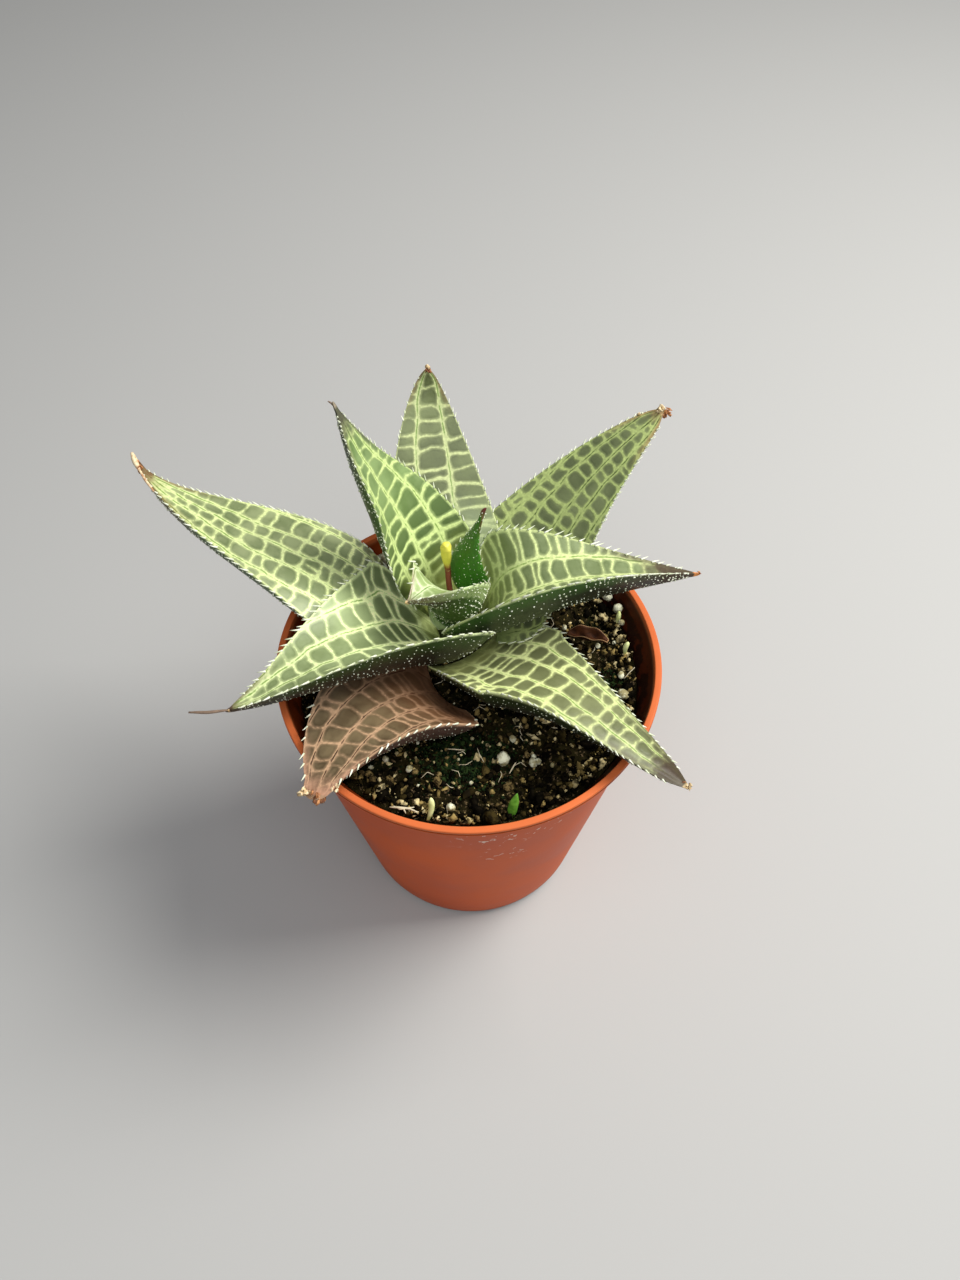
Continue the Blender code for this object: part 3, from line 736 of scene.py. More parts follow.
# The leaves are thick, waxy and pointed.  Each grows from the stem along its own curve; its upper face is
# a translucent window crossed by a pale net of lines, its margins carry white horny teeth, and its
# underside is dark, keeled and set with small white tubercles.
#
# path: four control points of the midline, from the stem to the tip.  half: half width at the root, at the
# widest place and at the tip.  widest: the curve's t where that is.  taper: exponents of the
# narrowing.  roll: turn about the midline at root and tip.  channel: rise of the margins as a share of the
# half width, at root and tip.  keel: thickness.  belly: exponent of the underside's roundness.  lines: pale
# lines along the blade.  cell: length of a window between two cross lines.  skin: its row in SKINS.
# teeth: size of the teeth.  pitch: distance between them.  warts and grain: the same for the tubercles.
LEAVES = {
    "leaf_left": dict(
        path=[(-10.8, 6.9, 50.1), (-18.8, 13.5, 62.7), (-41.3, 13.2, 64.3), (-48.7, 24.8, 67.1)],
        half=(5.4, 10.1, 0.4), widest=0.22, taper=(1.41, 1.61), roll=(-15, -5), channel=(-0.25, 0.09),
        keel=4.7, belly=5.0, lines=5, cell=2.4, skin="left", teeth=0.9),
    "leaf_inner_upright": dict(
        path=[(-3.8, 9.1, 53.2), (-10.7, 17.5, 66.0), (-12.2, 14.1, 71.8), (-17.0, 16.5, 84.8)],
        half=(4.7, 7.8, 0.3), widest=0.15, taper=(1.84, 1.27), roll=(-8, 5), channel=(0.47, -0.13),
        keel=3.7, belly=2.0, lines=3, cell=2.3, skin="inner", teeth=0.7),
    "leaf_back": dict(
        path=[(-2.9, 13.1, 52.0), (-3.5, 15.1, 58.8), (-6.8, 32.1, 66.4), (-5.9, 34.8, 75.1)],
        half=(4.3, 8.2, 0.3), widest=0.25, taper=(1.27, 0.82), roll=(1, -2), channel=(0.32, -0.10),
        keel=3.8, belly=2.6, lines=2, cell=2.0, skin="back", teeth=0.55, pitch=1.2),
    "leaf_right_back": dict(
        path=[(4.4, 10.7, 50.9), (11.3, 19.2, 57.6), (16.3, 22.8, 65.7), (27.8, 28.2, 73.1)],
        half=(3.9, 9.5, 0.9), widest=0.25, taper=(0.90, 0.60), roll=(1, 4), channel=(0.12, -0.15),
        keel=3.6, belly=4.0, lines=5, cell=1.9, skin="right_back", teeth=0.7, pitch=1.1),
    "leaf_right": dict(
        path=[(1.2, 4.4, 53.1), (7.4, 3.3, 66.6), (18.4, 5.8, 63.8), (32.2, 6.9, 62.2)],
        half=(3.5, 10.1, 0.3), widest=0.18, taper=(1.30, 0.99), roll=(14, 33), channel=(0.67, 0.27),
        keel=3.7, belly=2.4, lines=3, cell=1.8, skin="right", warts=0.85),
    "leaf_lower_right": dict(
        path=[(0.0, 0.4, 51.6), (13.0, -8.0, 58.4), (11.3, -6.2, 58.2), (28.4, -23.0, 55.5)],
        half=(8.6, 9.8, 0.3), widest=0.25, taper=(0.49, 0.51), roll=(22, 13), channel=(0.24, -0.20),
        keel=4.6, belly=5.2, lines=4, cell=2.2, skin="lower", teeth=0.8, warts=0.6),
    "leaf_front_left": dict(
        path=[(-3.0, 2.4, 51.3), (-14.8, -3.7, 63.3), (-21.5, -10.0, 60.8), (-31.8, -13.0, 58.2)],
        half=(5.0, 13.2, 0.3), widest=0.15, taper=(0.77, 0.93), roll=(-22, -19), channel=(0.58, 0.36),
        keel=3.1, belly=3.2, lines=5, cell=2.4, skin="front", warts=0.7),
    "leaf_old_brown": dict(
        path=[(-4.2, -4.7, 49.4), (-7.2, -6.1, 54.7), (-16.2, -9.8, 56.9), (-19.6, -24.2, 54.9)],
        half=(5.0, 11.4, 2.5), widest=0.20, taper=(1.75, 0.73), roll=(-10, -22), channel=(0.28, -0.05),
        keel=4.9, belly=5.0, lines=5, cell=2.0, skin="old", teeth=0.9, pitch=1.5, warts=0.55),
    "leaf_centre_fold": dict(
        path=[(-1.6, 5.5, 55.0), (-1.5, 5.4, 60.0), (-2.7, 1.4, 68.4), (-8.4, -0.3, 64.8)],
        half=(3.9, 5.2, 0.3), widest=0.62, taper=(2.18, 1.61), roll=(-22, -16), channel=(0.34, 0.48),
        keel=3.8, belly=3.5, lines=4, cell=1.25, skin="fold", grain=0.29, warts=0.72, teeth=0.8),
    "leaf_centre_bud": dict(
        path=[(-0.6, 8.9, 56.3), (-0.2, 10.3, 62.3), (0.9, 11.1, 64.2), (2.5, 12.3, 69.6)],
        half=(1.9, 3.7, 0.3), widest=0.20, taper=(1.88, 1.19), roll=(185, 224), channel=(0.23, -0.12),
        keel=1.4, belly=2.4, lines=2, cell=1.6, skin="young", grain=0.5, teeth=0.6, warts=0.62),
    "leaf_hidden_right": dict(
        path=[(3.8, 5.3, 52.3), (7.0, 5.5, 53.6), (10.9, 7.2, 55.7), (13.1, 5.4, 56.9)],
        half=(3.4, 4.6, 0.3), widest=0.30, taper=(2.00, 0.90), roll=(1, 0), channel=(0.10, -0.10),
        keel=1.3, belly=1.6, lines=3, cell=1.7, skin="right_back"),
}


def midline(path, count=401):
    """Values of t, points, directions and lengths along the cubic curve of four control points.

    Each point is the four, weighted by the products of t and 1 - t; the direction is its rate of change.
    """
    first, second, third, last = (np.array(point) for point in path)
    t = np.linspace(0.0, 1.0, count)[:, None]
    rest = 1 - t
    points = rest ** 3 * first + 3 * rest ** 2 * t * second + 3 * rest * t ** 2 * third + t ** 3 * last
    along = rest ** 2 * (second - first) + 2 * rest * t * (third - second) + t ** 2 * (last - third)
    lengths = np.concatenate([[0.0], np.cumsum(np.linalg.norm(np.diff(points, axis=0), axis=1))])
    return t[:, 0], points, unit(along), lengths


# The tip is rounded off over its last shares of the length, and the blade is nowhere thinner than this.
ROUND_FROM = 0.94
ROUND_OVER = 0.0615
LEAST_THICK = 0.6


class Blade:
    """The form of one leaf: from a share of its length and a place across it to a point in space."""

    def __init__(self, leaf):
        self.leaf = leaf
        self.t_table, self.points, self.along, self.lengths = midline(leaf["path"])
        self.length = self.lengths[-1]

    def at(self, where, table):
        """Rows of a table along the midline, read at lengths in mm."""
        return np.stack([np.interp(where, self.lengths, column) for column in table.T], 1)

    def rows(self, share):
        """Sections at shares of the length: centre, three directions, half width, channel and thickness.

        The half width grows by a sine to the widest place, then narrows by 1 minus a power, to a power.
        """
        where = share * self.length
        t = np.interp(where, self.lengths, self.t_table)
        centre = self.at(where, self.points)
        ahead = self.at(where, self.along)
        level = unit(np.cross(ahead, (0.0, 0.0, 1.0)))
        raised = np.cross(level, ahead)
        leaf = self.leaf
        roll = np.radians(leaf["roll"][0] + (leaf["roll"][1] - leaf["roll"][0]) * t)[:, None]
        across = level * np.cos(roll) + raised * np.sin(roll)
        up = raised * np.cos(roll) - level * np.sin(roll)
        root, widest, tip = leaf["half"]
        grow = np.clip(t / leaf["widest"], 0.0, 1.0)
        fall = np.clip((t - leaf["widest"]) / (1.0 - leaf["widest"]), 0.0, 1.0)
        half = root + (widest - root) * np.sin(grow * np.pi / 2)
        half = half * (1 - fall ** leaf["taper"][0]) ** leaf["taper"][1]
        end = np.sqrt(np.clip(1.0 - np.clip((t - ROUND_FROM) / ROUND_OVER, 0.0, 1.0) ** 2, 0.02, 1.0))
        half = np.maximum(half, tip) * end
        channel = leaf["channel"][0] + (leaf["channel"][1] - leaf["channel"][0]) * t
        swell = 0.55 + 0.45 * np.clip(t / 0.35, 0.0, 1.0)
        thick = leaf["keel"] * swell * np.clip(1 - t ** 2.5, 0.0, 1.0) ** 0.8
        keel = np.maximum(thick, LEAST_THICK) * end
        return centre, ahead, across, up, half, channel, keel

    def surface(self, share, u, under=False):
        """Points of the upper or under face on a grid of shares and places across from -1 to 1.

        The margins rise by the square of the place, and the underside hangs below by 1 minus its power.
        """
        centre, _, across, up, half, channel, keel = self.rows(share)
        rise = (channel * half)[:, None] * u ** 2
        if under:
            rise = rise - keel[:, None] * (1 - np.abs(u) ** self.leaf["belly"])
        sideways = across[:, None] * (half[:, None] * u)[..., None]
        return centre[:, None] + sideways + up[:, None] * rise[..., None]


def segment_distance(x, y, start, stop):
    """Distance of points from a straight piece of line: from their nearest place on it, kept within it."""
    way = stop - start
    along = np.clip(((x - start[0]) * way[0] + (y - start[1]) * way[1]) / (way @ way + 1e-9), 0.0, 1.0)
    return np.hypot(x - start[0] - along * way[0], y - start[1] - along * way[1])


# How tightly the net is rounded, a long vein's half width in mm, the chance that a cross line sends out
# a blind branch, and the distance that stands for a place far from every vein.
NET_SHARP = 5.5
VEIN_HALF = 0.09
BRANCH_CHANCE = 0.05
NO_VEIN = 9.0


def net_distance(blade, share, u, seed):
    """Distances in mm from the pale net, and from its long veins alone, over a grid of the upper face.

    Veins run along the blade; as it narrows, the outer ones run out at the margin.  Between two of them,
    or between the last and the margin, cross lines follow each other at a cell's length, bent and slanted
    by chance.  The grid is first pushed about by smooth noise, so that every line wavers.  The net is
    rounded where its lines meet: its distance is minus the logarithm of the sum of e to the minus each
    line's distance times NET_SHARP, over NET_SHARP.
    """
    leaf = blade.leaf
    draw = np.random.default_rng(seed)
    half = blade.rows(share)[4][:, None]
    s = (share * blade.length)[:, None]
    flat = np.stack(np.broadcast_arrays(s, half * u[None, :]), -1).reshape(-1, 2)
    x = flat[:, 0] + 0.26 * ripple(flat, 1.9, seed, 2) + 0.40 * ripple(flat, 5.5, seed + 40, 1)
    y = flat[:, 1] + 0.17 * ripple(flat, 1.7, seed + 50, 2) + 0.30 * ripple(flat, 7.0, seed + 60, 1)
    x, y = x.reshape(half.shape[0], -1), y.reshape(half.shape[0], -1)
    total = np.zeros(x.shape)
    count = leaf["lines"]
    home = np.linspace(-1.0, 1.0, count + 2)
    home[1:-1] += draw.uniform(-0.06, 0.06, count)

    def across(line, where):
        """Place of a line across the blade, in mm, at a length along it."""
        spread = home[line] * (1.0 + 1.1 * (np.clip(where / blade.length, 0.0, 1.0)) ** 2)
        return np.clip(spread, -1.0, 1.0) * np.interp(where, share * blade.length, half[:, 0])

    vein = np.full(x.shape, NO_VEIN)
    for number in range(1, count + 1):
        apart = np.abs(y - across(number, x))
        vein = np.minimum(vein, apart)
        total += np.exp(-NET_SHARP * (apart - VEIN_HALF))
    for column in range(count + 1):
        where = draw.uniform(0.0, 1.0) * leaf["cell"]
        while where < blade.length * 0.93:
            part = where / blade.length
            slant = draw.uniform(-0.4, 0.4) * leaf["cell"] * 0.5
            first = np.array([where, across(column, where)])
            second = np.array([where + slant, across(column + 1, where + slant)])
            bow = draw.uniform(0.3, 0.7)
            middle = first * bow + second * (1.0 - bow) + np.array([draw.uniform(-0.45, 0.55), 0.0])
            near = np.minimum(segment_distance(x, y, first, middle), segment_distance(x, y, middle, second))
            total += np.exp(-NET_SHARP * (near + draw.uniform(-0.02, 0.09)))
            if draw.uniform() < BRANCH_CHANCE and part < 0.6:
                ahead = draw.choice([-1.0, 1.0]) * leaf["cell"] * 0.8
                branch = middle + np.array([ahead, (second - first)[1] * 0.1])
                total += np.exp(-NET_SHARP * (segment_distance(x, y, middle, branch) + 0.06))
            step = leaf["cell"] * (0.50 + 0.60 * min(1.0, part / 0.4)) * draw.uniform(0.68, 1.32)
            where += step * (0.62 + 0.38 * min(1.0, abs(second - first)[1] / 2.5))
    return -np.log(total + 1e-6) / NET_SHARP, vein


# Profiles of a tooth and of a tubercle, as shares of the height and of the radius there, the distances
# in mm between the teeth and between the tubercles, and the share of the tubercles that is kept.
TOOTH = ((-0.25, 1.1), (0.1, 1.0), (0.55, 0.6), (1.0, 0.08))
TUBERCLE = ((-0.5, 1.05), (0.45, 0.85), (1.0, 0.25))
TOOTH_PITCH = 1.15
TUBERCLE_PITCH = 0.62
TUBERCLES_KEPT = 0.62


def turned_over(faces):
    """The same faces, seen from their other side."""
    return [face[::-1] for face in faces]


def studs(profile, roots, ways, heights, radii, guide, bend=0.0, sides=5):
    """Small turned bodies: each stands on its root, points its unit way and bends towards +Z a little.

    The bend lifts a point by the square of its share of the height.
    """
    around = spokes(ways, guide, sides)
    rings = []
    for share, width in profile:
        centre = roots + ways * (heights * share)[:, None]
        centre[:, 2] += bend * heights * max(share, 0.0) ** 2
        rings.append(centre[:, None] + around * (radii * width)[:, None, None])
    pattern = turned_over(capped(len(profile), sides))
    return np.stack(rings, 1).reshape(-1, 3), copies(pattern, len(roots), len(profile) * sides)


def shade_of(colour, part):
    """A colour made darker or lighter, by one factor for its three parts."""
    return tuple(part * value for value in colour)


# The undersides' colours: their own dark green and grey, made darker still as painted shade.
GREEN_UNDER = (0.013, 0.042, 0.005)
GREY_UNDER = (0.022, 0.020, 0.012)
BROWN = (0.060, 0.035, 0.018)
CREAM = (0.75, 0.55, 0.28)
ORANGE = (0.65, 0.25, 0.07)


def leaf_finish(name, window=(0.215, 0.265, 0.125), deep=(0.125, 0.165, 0.065), line=(0.66, 0.75, 0.335),
                base=(0.17, 0.205, 0.050), under=GREEN_UNDER, under_tip=None, under_rim=(0.040, 0.100, 0.018),
                brown=BROWN, dry=ORANGE, seam=(0.13, 0.25, 0.03), width=0.20, furrow=0.0, sunk=0.30,
                root_painted_shade=0.0, root_painted_light=0.0, brown_from=0.90, band=(0.55, 0.92), turns=(0.2, 0.75), speckle=0.4):
    """Waxy leaf skin: grey-green windows between the lines of a pale net, dark skin below, a browned tip.

    The net's attribute is a distance in mm.  Within the line's half width lies the pale line, out from it
    a halo between the two colours, then the window, darkest round its rim.  A darker seam runs in the
    middle of each long vein, and furrow cracks the lines.  Up to the share sunk, the net sinks into the
    base's plain skin.  Towards the root, root_painted_shade darkens the windows with painted shade, and glow
    brightens the whole face with painted light.
    The underside turns from under to under_tip along turns, and to under_rim across the band, with
    speckles.  From brown_from on, and at the edges a little before it, the skin turns brown; the very tip
    is dry.
    """
    skin = Finish(name)
    net = skin.attribute("net")
    along = skin.attribute("along")
    out = skin.attribute("across")
    out = out * out
    upper = skin.attribute("upper")
    fine = skin.noise(2400.0, 2.0)
    mottle = skin.noise(520.0)
    patch = skin.noise(150.0, 2.0)
    wide = width + (mottle - 0.5) * 0.34 + (fine - 0.5) * 0.16 + skin.step(along, 0.95, 0.3, -0.07, 0.03)
    core = skin.step(net - wide, 0.08, -0.08)
    halo = skin.step(net - wide, 0.36, 0.02)
    cloudy = skin.step(net + (fine - 0.5) * 0.35, 0.34, 0.70) * 0.35
    cloudy = cloudy + skin.step(mottle * 0.4 + patch * 0.6, 0.40, 0.60) * 0.65
    glass = skin.blend(cloudy, deep, window)
    glass = skin.blend(skin.step(patch, 0.50, 0.72) * 0.6, glass, shade_of(window, 1.35))
    # Painted shade: the windows darken towards the root, where the leaves shade each other.
    glass = skin.blend(skin.step(along, 0.55, 0.15) * root_painted_shade, glass, shade_of(deep, 0.45))
    face = skin.blend(halo * 0.5, glass, tuple(0.5 * a + 0.5 * b for a, b in zip(window, line)))
    pale = skin.blend(skin.step(fine, 0.35, 0.7), shade_of(line, 0.80), line)
    face = skin.blend(core, face, pale)
    crossing = skin.noise(700.0, 2.0)
    crease = skin.step(skin.attribute("vein") + (fine - 0.5) * 0.10, 0.13, 0.05)
    face = skin.blend(crease * skin.step(crossing, 0.36, 0.52) * 0.85, face, seam)
    crack = skin.step(net, 0.02, -0.05) * skin.step(crossing, 0.62 - 0.25 * furrow, 0.66)
    face = skin.blend(crack * furrow, face, shade_of(deep, 0.4))
    root = skin.step(along + (patch - 0.5) * 0.14, sunk, 0.04)
    face = skin.blend(root * 0.8, face, base)
    face = skin.blend(skin.step(out, 0.90, 0.97) * 0.7, face, pale)
    # Painted light: the whole face is brightened towards the root.
    face = skin.blend(skin.step(along, 0.60, 0.15) * root_painted_light, face, face, "ADD")
    back = skin.blend(skin.step(along + (patch - 0.5) * 0.3, *turns), under, under_tip or under)
    back = skin.blend(skin.step(out + (mottle - 0.5) * 0.3, *band), back, under_rim)
    back = skin.blend(skin.step(fine, 0.50, 0.75) * speckle, back, shade_of(under, 2.0))
    colour = skin.blend(upper, back, face)
    faded = skin.step(along + (mottle - 0.5) * 0.14, brown_from - 0.07, brown_from + 0.05)
    edge = skin.step(out, 0.40, 0.80) * skin.step(along, brown_from - 0.26, brown_from - 0.04)
    worn = skin.blend(fine, brown, shade_of(brown, 2.0))
    colour = skin.blend(skin.larger(faded * 0.96, edge * 0.75), colour, worn)
    colour = skin.blend(skin.step(along + (mottle - 0.5) * 0.03, 0.968, 0.980), colour, dry)
    height = skin.step(net, 0.05, 0.5) * upper * (1.0 - root)
    normal = skin.bump(fine, 0.35, 0.00006, skin.bump(height, 0.6, 0.00010, skin.bump(mottle, 0.25, 0.0002)))
    rough = skin.step(mottle, 0.3, 0.7, 0.36, 0.50) + core * 0.10 + faded * 0.20
    return skin.surface(colour, rough, normal, Specular_IOR_Level=0.22, Coat_Weight=upper * 0.3,
                        Coat_Roughness=0.32)


def ridge_normals(grid):
    """Unit normals of a grid of points: across its steps along, times its steps across."""
    return unit(np.cross(np.gradient(grid, axis=0), np.gradient(grid, axis=1)))


# The mesh's spacing at most, and the heights of its waves and of the swellings between the net's lines.
MESH_STEP = 0.27
WAVE = 0.10
PILLOW = 0.07


def blade_surface(blade, seed):
    """The blade's closed surface, ring by ring, with the attributes that its skin reads.

    The upper face takes sine waves and swells between the net's lines, and the underside takes waves.
    """
    leaf = blade.leaf
    mesh_step = min(MESH_STEP, 0.12 * leaf["cell"])
    rows = int(blade.length / mesh_step) + 20
    upper = int(2.0 * leaf["half"][1] / mesh_step) + 12
    under = upper // 2
    share = np.linspace(0.0, 1.0, rows)
    u_top = np.sin(np.linspace(-np.pi / 2, np.pi / 2, upper)) * 0.35 + np.linspace(-1.0, 1.0, upper) * 0.65
    u_low = np.linspace(1.0, -1.0, under + 2)[1:-1]
    net, vein = net_distance(blade, share, u_top, seed)
    top = blade.surface(share, u_top)
    up = blade.rows(share)[3][:, None]
    calm = np.clip(1.0 - u_top ** 6, 0.0, 1.0)[None, :, None]
    wave = ripple(top.reshape(-1, 3), 9.0, seed + 1, 2).reshape(net.shape)[..., None]
    pillow = np.clip(net / 0.7, 0.0, 1.0)[..., None] ** 0.7
    top = top + up * calm * (WAVE * wave + PILLOW * pillow - 0.05)
    low = blade.surface(share, u_low, True)
    low_wave = ripple(low.reshape(-1, 3), 5.0, seed + 2, 3).reshape(low.shape[:2])[..., None]
    low = low + up * WAVE * low_wave * np.clip(1.0 - u_low ** 4, 0.0, 1.0)[None, :, None]
    columns = upper + under
    attributes = {
        "net": np.concatenate([net, np.full((rows, under), 1.0)], 1).ravel(),
        "vein": np.concatenate([vein, np.full((rows, under), NO_VEIN)], 1).ravel(),
        "along": np.repeat(share, columns),
        "across": np.tile(np.concatenate([u_top, u_low]), rows),
        "upper": np.tile(np.arange(columns) < upper, rows).astype(float),
    }
    return (np.concatenate([top, low], 1).reshape(-1, 3), capped(rows, columns)), attributes, up[0, 0]


def teeth(blade, draw):
    """Horny teeth along both margins, that point outwards and towards the tip."""
    leaf = blade.leaf
    count = int(blade.length * 0.88 / leaf.get("pitch", TOOTH_PITCH))
    roots, ways, heights = [], [], []
    for side in (-1.0, 1.0):
        where = np.sort(0.07 + 0.88 * (np.arange(count) + draw.uniform(-0.25, 0.25, count)) / count)
        centre, ahead, across, up, half, channel, _ = blade.rows(where)
        roots.append(centre + across * (half * side)[:, None] + up * (channel * half)[:, None])
        slope = up * np.clip(channel * 1.4, -0.3, 0.8)[:, None]
        ways.append(across * side * draw.uniform(0.15, 0.80, (count, 1)) + slope * 0.3
                    + ahead * draw.uniform(1.5, 2.4, (count, 1)) + up * draw.uniform(0.0, 0.2, (count, 1)))
        size = np.clip(0.5 + half / 7.0, 0.4, 1.0)
        heights.append(draw.uniform(0.70, 1.20, count) * size * leaf.get("teeth", 1.0))
    roots, ways, heights = np.concatenate(roots), np.concatenate(ways), np.concatenate(heights)
    return studs(TOOTH, roots, unit(ways), heights, heights * 0.05 + 0.095, (0.31, 0.52, 0.79), 0.12)


def tubercles(blade, draw, up):
    """Low white domes strewn over the underside: the points of a grid, thinned and shifted by chance."""
    leaf = blade.leaf
    grain = leaf.get("grain", TUBERCLE_PITCH)
    fine_rows = np.linspace(0.03, 0.94, int(blade.length / grain))
    fine_across = np.sin(np.linspace(-1.33, 1.33, max(9, int(1.4 * leaf["half"][1] / grain))))
    grid = blade.surface(fine_rows, fine_across, True)
    outwards = ridge_normals(grid)
    outwards = outwards * (-1.0 if np.mean(outwards * up) > 0 else 1.0)
    roots, ways = grid.reshape(-1, 3), outwards.reshape(-1, 3)
    keep = draw.uniform(0.0, 1.0, len(roots)) < TUBERCLES_KEPT
    roots, ways = roots[keep], ways[keep]
    roots = roots + draw.uniform(-0.22, 0.22, roots.shape) * (1 - np.abs(ways))
    radii = draw.lognormal(-2.15, 0.33, len(roots)).clip(0.05, 0.22) * leaf.get("warts", 1.0)
    return studs(TUBERCLE, roots, ways, radii * 0.7, radii, (0.13, 0.97, 0.21))


def make_leaf(name, leaf, seed, skin, horn):
    """One leaf: the blade's closed surface with its net, and the teeth and tubercles that grow on it."""
    blade = Blade(leaf)
    draw = np.random.default_rng(seed)
    surface, attributes, up = blade_surface(blade, seed)
    tooth_parts = teeth(blade, draw)
    points, faces = together([surface, tooth_parts, tubercles(blade, draw, up)])
    marks = np.arange(len(faces)) >= len(surface[1])
    extra = np.zeros(len(points) - len(surface[0]))
    attributes = {key: np.concatenate([values, extra]) for key, values in attributes.items()}
    thing = solid(f"{name}_blade", points, faces, [skin, horn], marks=marks, attributes=attributes)
    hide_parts(name)


horn_material = two_tone("leaf_horn", (0.58, 0.64, 0.42), (0.88, 0.90, 0.76), 0.45, 800.0, (0.3, 0.7),
                         (0.3, 0.0001), 4000.0, 2.0)
SKINS = {
    "left": dict(window=(0.23, 0.27, 0.13), under_tip=BROWN, brown=(0.10, 0.045, 0.02), width=0.17, sunk=0.12,
                 root_painted_light=0.5),
    "inner": dict(window=(0.19, 0.275, 0.100), deep=(0.11, 0.180, 0.050), line=(0.60, 0.73, 0.29),
                  base=(0.15, 0.18, 0.035), brown=(0.045, 0.042, 0.028), dry=(0.30, 0.25, 0.18),
                  brown_from=0.88, width=0.19, root_painted_shade=1.0),
    # The back leaf's pale milky base colour is a painted sheen.
    "back": dict(window=(0.150, 0.180, 0.072), deep=(0.085, 0.105, 0.036), line=(0.58, 0.65, 0.30),
                 base=(0.54, 0.65, 0.37), brown=(0.16, 0.11, 0.05), brown_from=1.0, sunk=0.46),
    "right_back": dict(window=(0.155, 0.185, 0.085), deep=(0.105, 0.130, 0.058), line=(0.48, 0.58, 0.21),
                       base=(0.22, 0.29, 0.09), under=GREY_UNDER, brown=(0.26, 0.15, 0.07), dry=CREAM,
                       brown_from=0.98, width=0.23, furrow=0.5, seam=(0.070, 0.120, 0.020)),
    "right": dict(under=(0.030, 0.045, 0.018), under_tip=GREY_UNDER, brown=(0.045, 0.030, 0.018),
                  brown_from=0.81, width=0.17, sunk=0.36, root_painted_shade=0.5, root_painted_light=0.18),
    # The lower leaf's near-black under_rim is painted shade.
    "lower": dict(window=(0.152, 0.168, 0.074), deep=(0.095, 0.108, 0.042), line=(0.56, 0.62, 0.27),
                  base=(0.20, 0.22, 0.07), under=GREY_UNDER, under_rim=(0.020, 0.032, 0.008),
                  brown=(0.030, 0.018, 0.009), dry=CREAM, brown_from=0.85, width=0.17, sunk=0.12,
                  root_painted_shade=0.3, root_painted_light=0.45),
    # The front leaf's dark under_rim is partly its own dark green, partly painted shade.
    "front": dict(window=(0.25, 0.31, 0.145), deep=(0.155, 0.20, 0.080), line=(0.72, 0.82, 0.40),
                  under=GREY_UNDER, under_rim=(0.028, 0.062, 0.012), dry=BROWN, brown_from=0.96, width=0.17,
                  sunk=0.10, root_painted_shade=0.65, root_painted_light=0.5),
    "old": dict(window=(0.190, 0.140, 0.074), deep=(0.095, 0.066, 0.034), line=(0.63, 0.40, 0.235),
                base=(0.15, 0.055, 0.022), under=(0.070, 0.045, 0.035), under_tip=(0.15, 0.09, 0.065),
                under_rim=(0.10, 0.060, 0.045), brown=(0.34, 0.19, 0.12), dry=(0.40, 0.25, 0.15),
                brown_from=0.92, width=0.15, furrow=0.8, sunk=0.62, seam=(0.060, 0.018, 0.008)),
    "fold": dict(window=(0.33, 0.43, 0.17), deep=(0.25, 0.34, 0.12), line=(0.72, 0.82, 0.48),
                 base=(0.33, 0.43, 0.17), under=(0.045, 0.095, 0.020), under_tip=(0.085, 0.060, 0.050),
                 under_rim=(0.34, 0.44, 0.19), brown=(0.16, 0.09, 0.075), dry=CREAM, brown_from=0.95,
                 width=0.15, band=(0.60, 0.74), turns=(0.62, 0.90), speckle=0.9),
    "young": dict(window=(0.040, 0.17, 0.010), deep=(0.025, 0.12, 0.006), line=(0.09, 0.26, 0.03),
                  base=(0.04, 0.14, 0.01), under=(0.038, 0.150, 0.014), under_tip=(0.05, 0.15, 0.02),
                  under_rim=(0.06, 0.22, 0.02), brown=(0.10, 0.025, 0.022), dry=(0.12, 0.025, 0.022),
                  brown_from=0.93),
}
skin_materials = {key: leaf_finish(f"leaf_{key}", **row) for key, row in SKINS.items()}
for number, (name, leaf) in enumerate(LEAVES.items()):
    make_leaf(name, leaf, 100 + 7 * number, skin_materials[leaf["skin"]], horn_material)


# Papery scraps in cream and orange-brown cling to the dried ends of the leaves.  Each tone has its dark
# and its pale colour, and its heaps of scraps: a middle, a reach and a count.
SCRAPS = {
    "cream": ((0.50, 0.33, 0.15), (0.88, 0.74, 0.48), [
        ((-48.3, 24.1, 67.2), 0.45, 8), ((27.3, 28.0, 73.1), 0.55, 14), ((24.4, 28.6, 71.6), 0.35, 4),
        ((28.2, -22.7, 55.5), 0.38, 5), ((-20.9, -23.4, 55.2), 0.55, 12), ((-16.9, -22.8, 55.6), 0.5, 7),
        ((-31.3, -13.0, 58.4), 0.22, 3), ((-5.9, 34.7, 74.9), 0.35, 5)]),
    "rust": ((0.20, 0.07, 0.03), (0.62, 0.28, 0.10), [
        ((-47.3, 22.4, 66.9), 0.45, 7), ((27.9, 27.6, 72.8), 0.55, 9), ((31.9, 6.8, 62.3), 0.3, 4),
        ((-18.9, -24.0, 54.9), 0.7, 12), ((-6.0, 34.4, 74.4), 0.35, 5), ((27.6, -22.0, 55.5), 0.3, 3)]),
}
scrap_draw = np.random.default_rng(71)
for tone, (dark, pale, heaps) in SCRAPS.items():
    places = np.concatenate([np.array(middle) + scrap_draw.normal(size=(count, 3)) * reach * 0.5
                             for middle, reach, count in heaps])
    sizes = np.concatenate([scrap_draw.uniform(0.45, 1.0, (count, 3)) * np.array([1.15, 0.75, 0.28]) * reach
                            for middle, reach, count in heaps])
    scrap_points, scrap_faces = scatter(ball(4, 7), places, sizes, 1.5, 0.30, 72)
    scrap_material = two_tone(f"dry_scraps_{tone}", dark, pale, 0.7, 1500.0, relief=(0.5, 0.0002))
    scraps = solid(f"dry_scraps_{tone}", scrap_points, scrap_faces, [scrap_material])

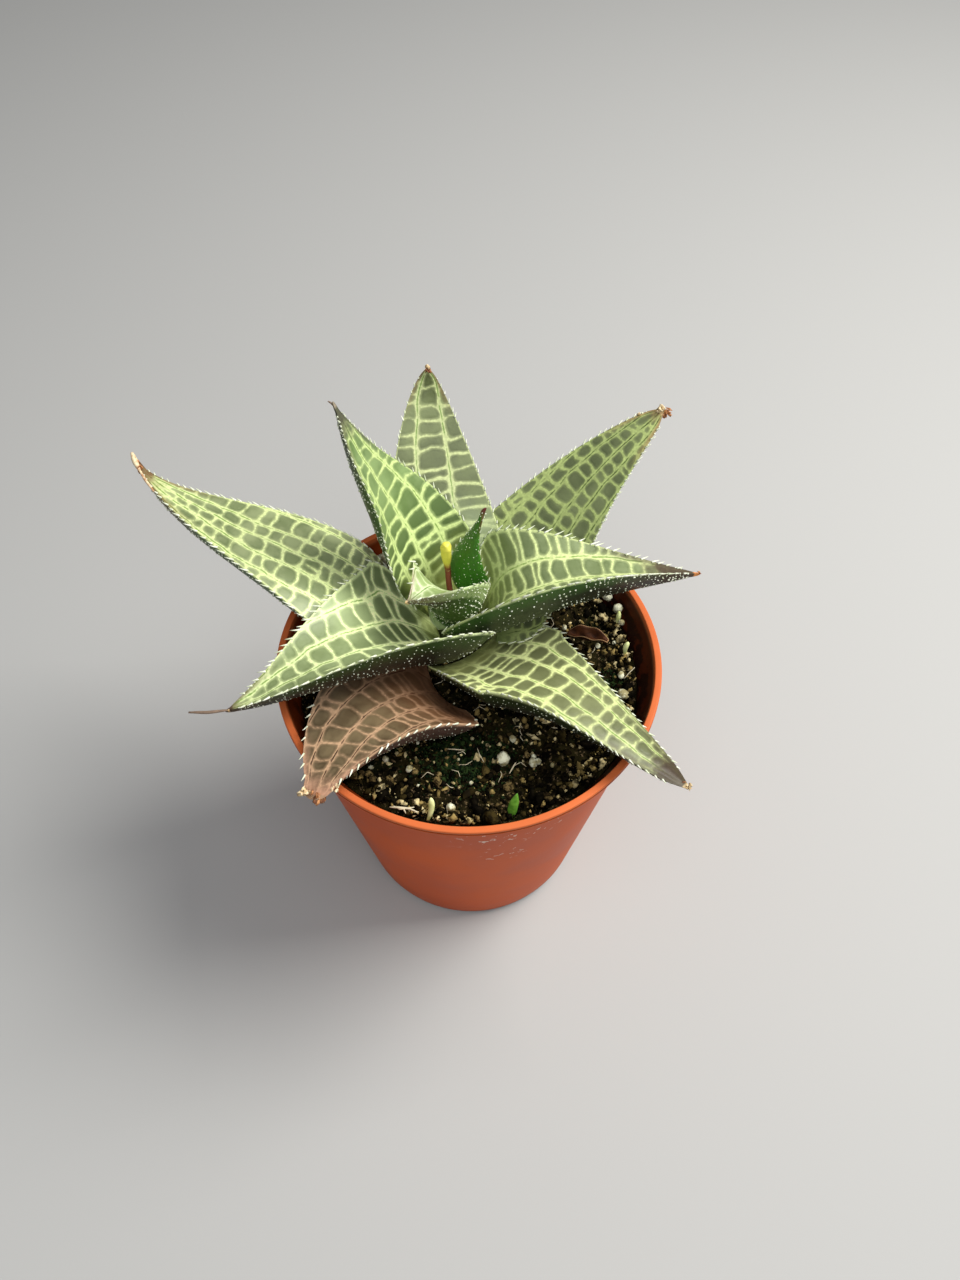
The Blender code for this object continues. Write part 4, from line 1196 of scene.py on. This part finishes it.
# The left leaf's tip has dried to a curled papery husk, and the front left leaf and the inner upright one
# end in a dry brown thread.
husk_lines = [thread([(-47.2, 21.9, 67.1), (-48.1, 23.5, 67.2), (-48.7, 24.8, 67.6)], 0.42, 7),
              thread([(-44.6, 18.2, 66.6), (-46.2, 20.3, 66.9), (-47.9, 23.0, 67.3)], 0.22, 6)]
awn_lines = [thread([(-31.2, -12.9, 58.3), (-34.0, -13.3, 58.3), (-36.6, -13.1, 58.0)], 0.22, 7),
             thread([(-16.9, 16.4, 84.0), (-17.3, 16.6, 84.5), (-17.7, 16.7, 84.7)], 0.12, 6)]
husk_material = two_tone("dry_husks", (0.45, 0.22, 0.10), (0.86, 0.72, 0.46), 0.6, 900.0)
awn_material = two_tone("dry_awns", (0.05, 0.03, 0.02), (0.30, 0.20, 0.13), 0.6, 900.0, None)
husks = solid("dry_husks", *together(husk_lines), [husk_material])
awns = solid("dry_awns", *together(awn_lines), [awn_material])


# The flower stalk was cut short: a thin red-brown stem whose end has dried to a swollen yellow tip.
# Its line is a row of places with a radius at each.
STALK = np.array([(-2.6, 8.0, 55.0, 0.45), (-2.9, 9.0, 57.5, 0.42), (-3.0, 9.7, 59.5, 0.42),
                  (-3.1, 9.8, 61.0, 0.5), (-3.1, 9.8, 62.6, 0.72), (-3.1, 9.8, 64.3, 0.78),
                  (-3.1, 9.8, 65.0, 0.5)])
STALK_ROWS = 60
STALK_SIDES = 24
where = np.linspace(0, len(STALK) - 1, STALK_ROWS)
stalk_x, stalk_y, stalk_z, stalk_radius = (np.interp(where, np.arange(len(STALK)), column)[:, None]
                                           for column in STALK.T)
turn = np.linspace(0.0, 2.0 * np.pi, STALK_SIDES, endpoint=False)
wrinkled = stalk_radius * (1.0 + 0.10 * np.sin(3 * turn + where[:, None]) * (where[:, None] > 3))
stalk_points = np.stack([stalk_x + wrinkled * np.cos(turn), stalk_y + wrinkled * np.sin(turn),
                         np.repeat(stalk_z, STALK_SIDES, 1)], -1).reshape(-1, 3)
dried = Finish("dry_stalk")
dry_mottle = dried.noise(900.0)
yellowed = dried.step(dried.axis(2) + (dry_mottle - 0.5) * 0.001, 0.0600, 0.0615)
stalk_colour = dried.blend(yellowed, (0.20, 0.045, 0.025), (0.80, 0.72, 0.10))
stalk_colour = dried.blend(dried.step(dry_mottle, 0.55, 0.7) * 0.6, stalk_colour, (0.85, 0.78, 0.30))
stalk_material = dried.surface(stalk_colour, 0.5, dried.bump(dry_mottle, 0.5, 0.0003))
stalk = solid("flower_stalk", stalk_points, turned_over(capped(STALK_ROWS, STALK_SIDES)), [stalk_material])
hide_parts("flower_stalk_stub")
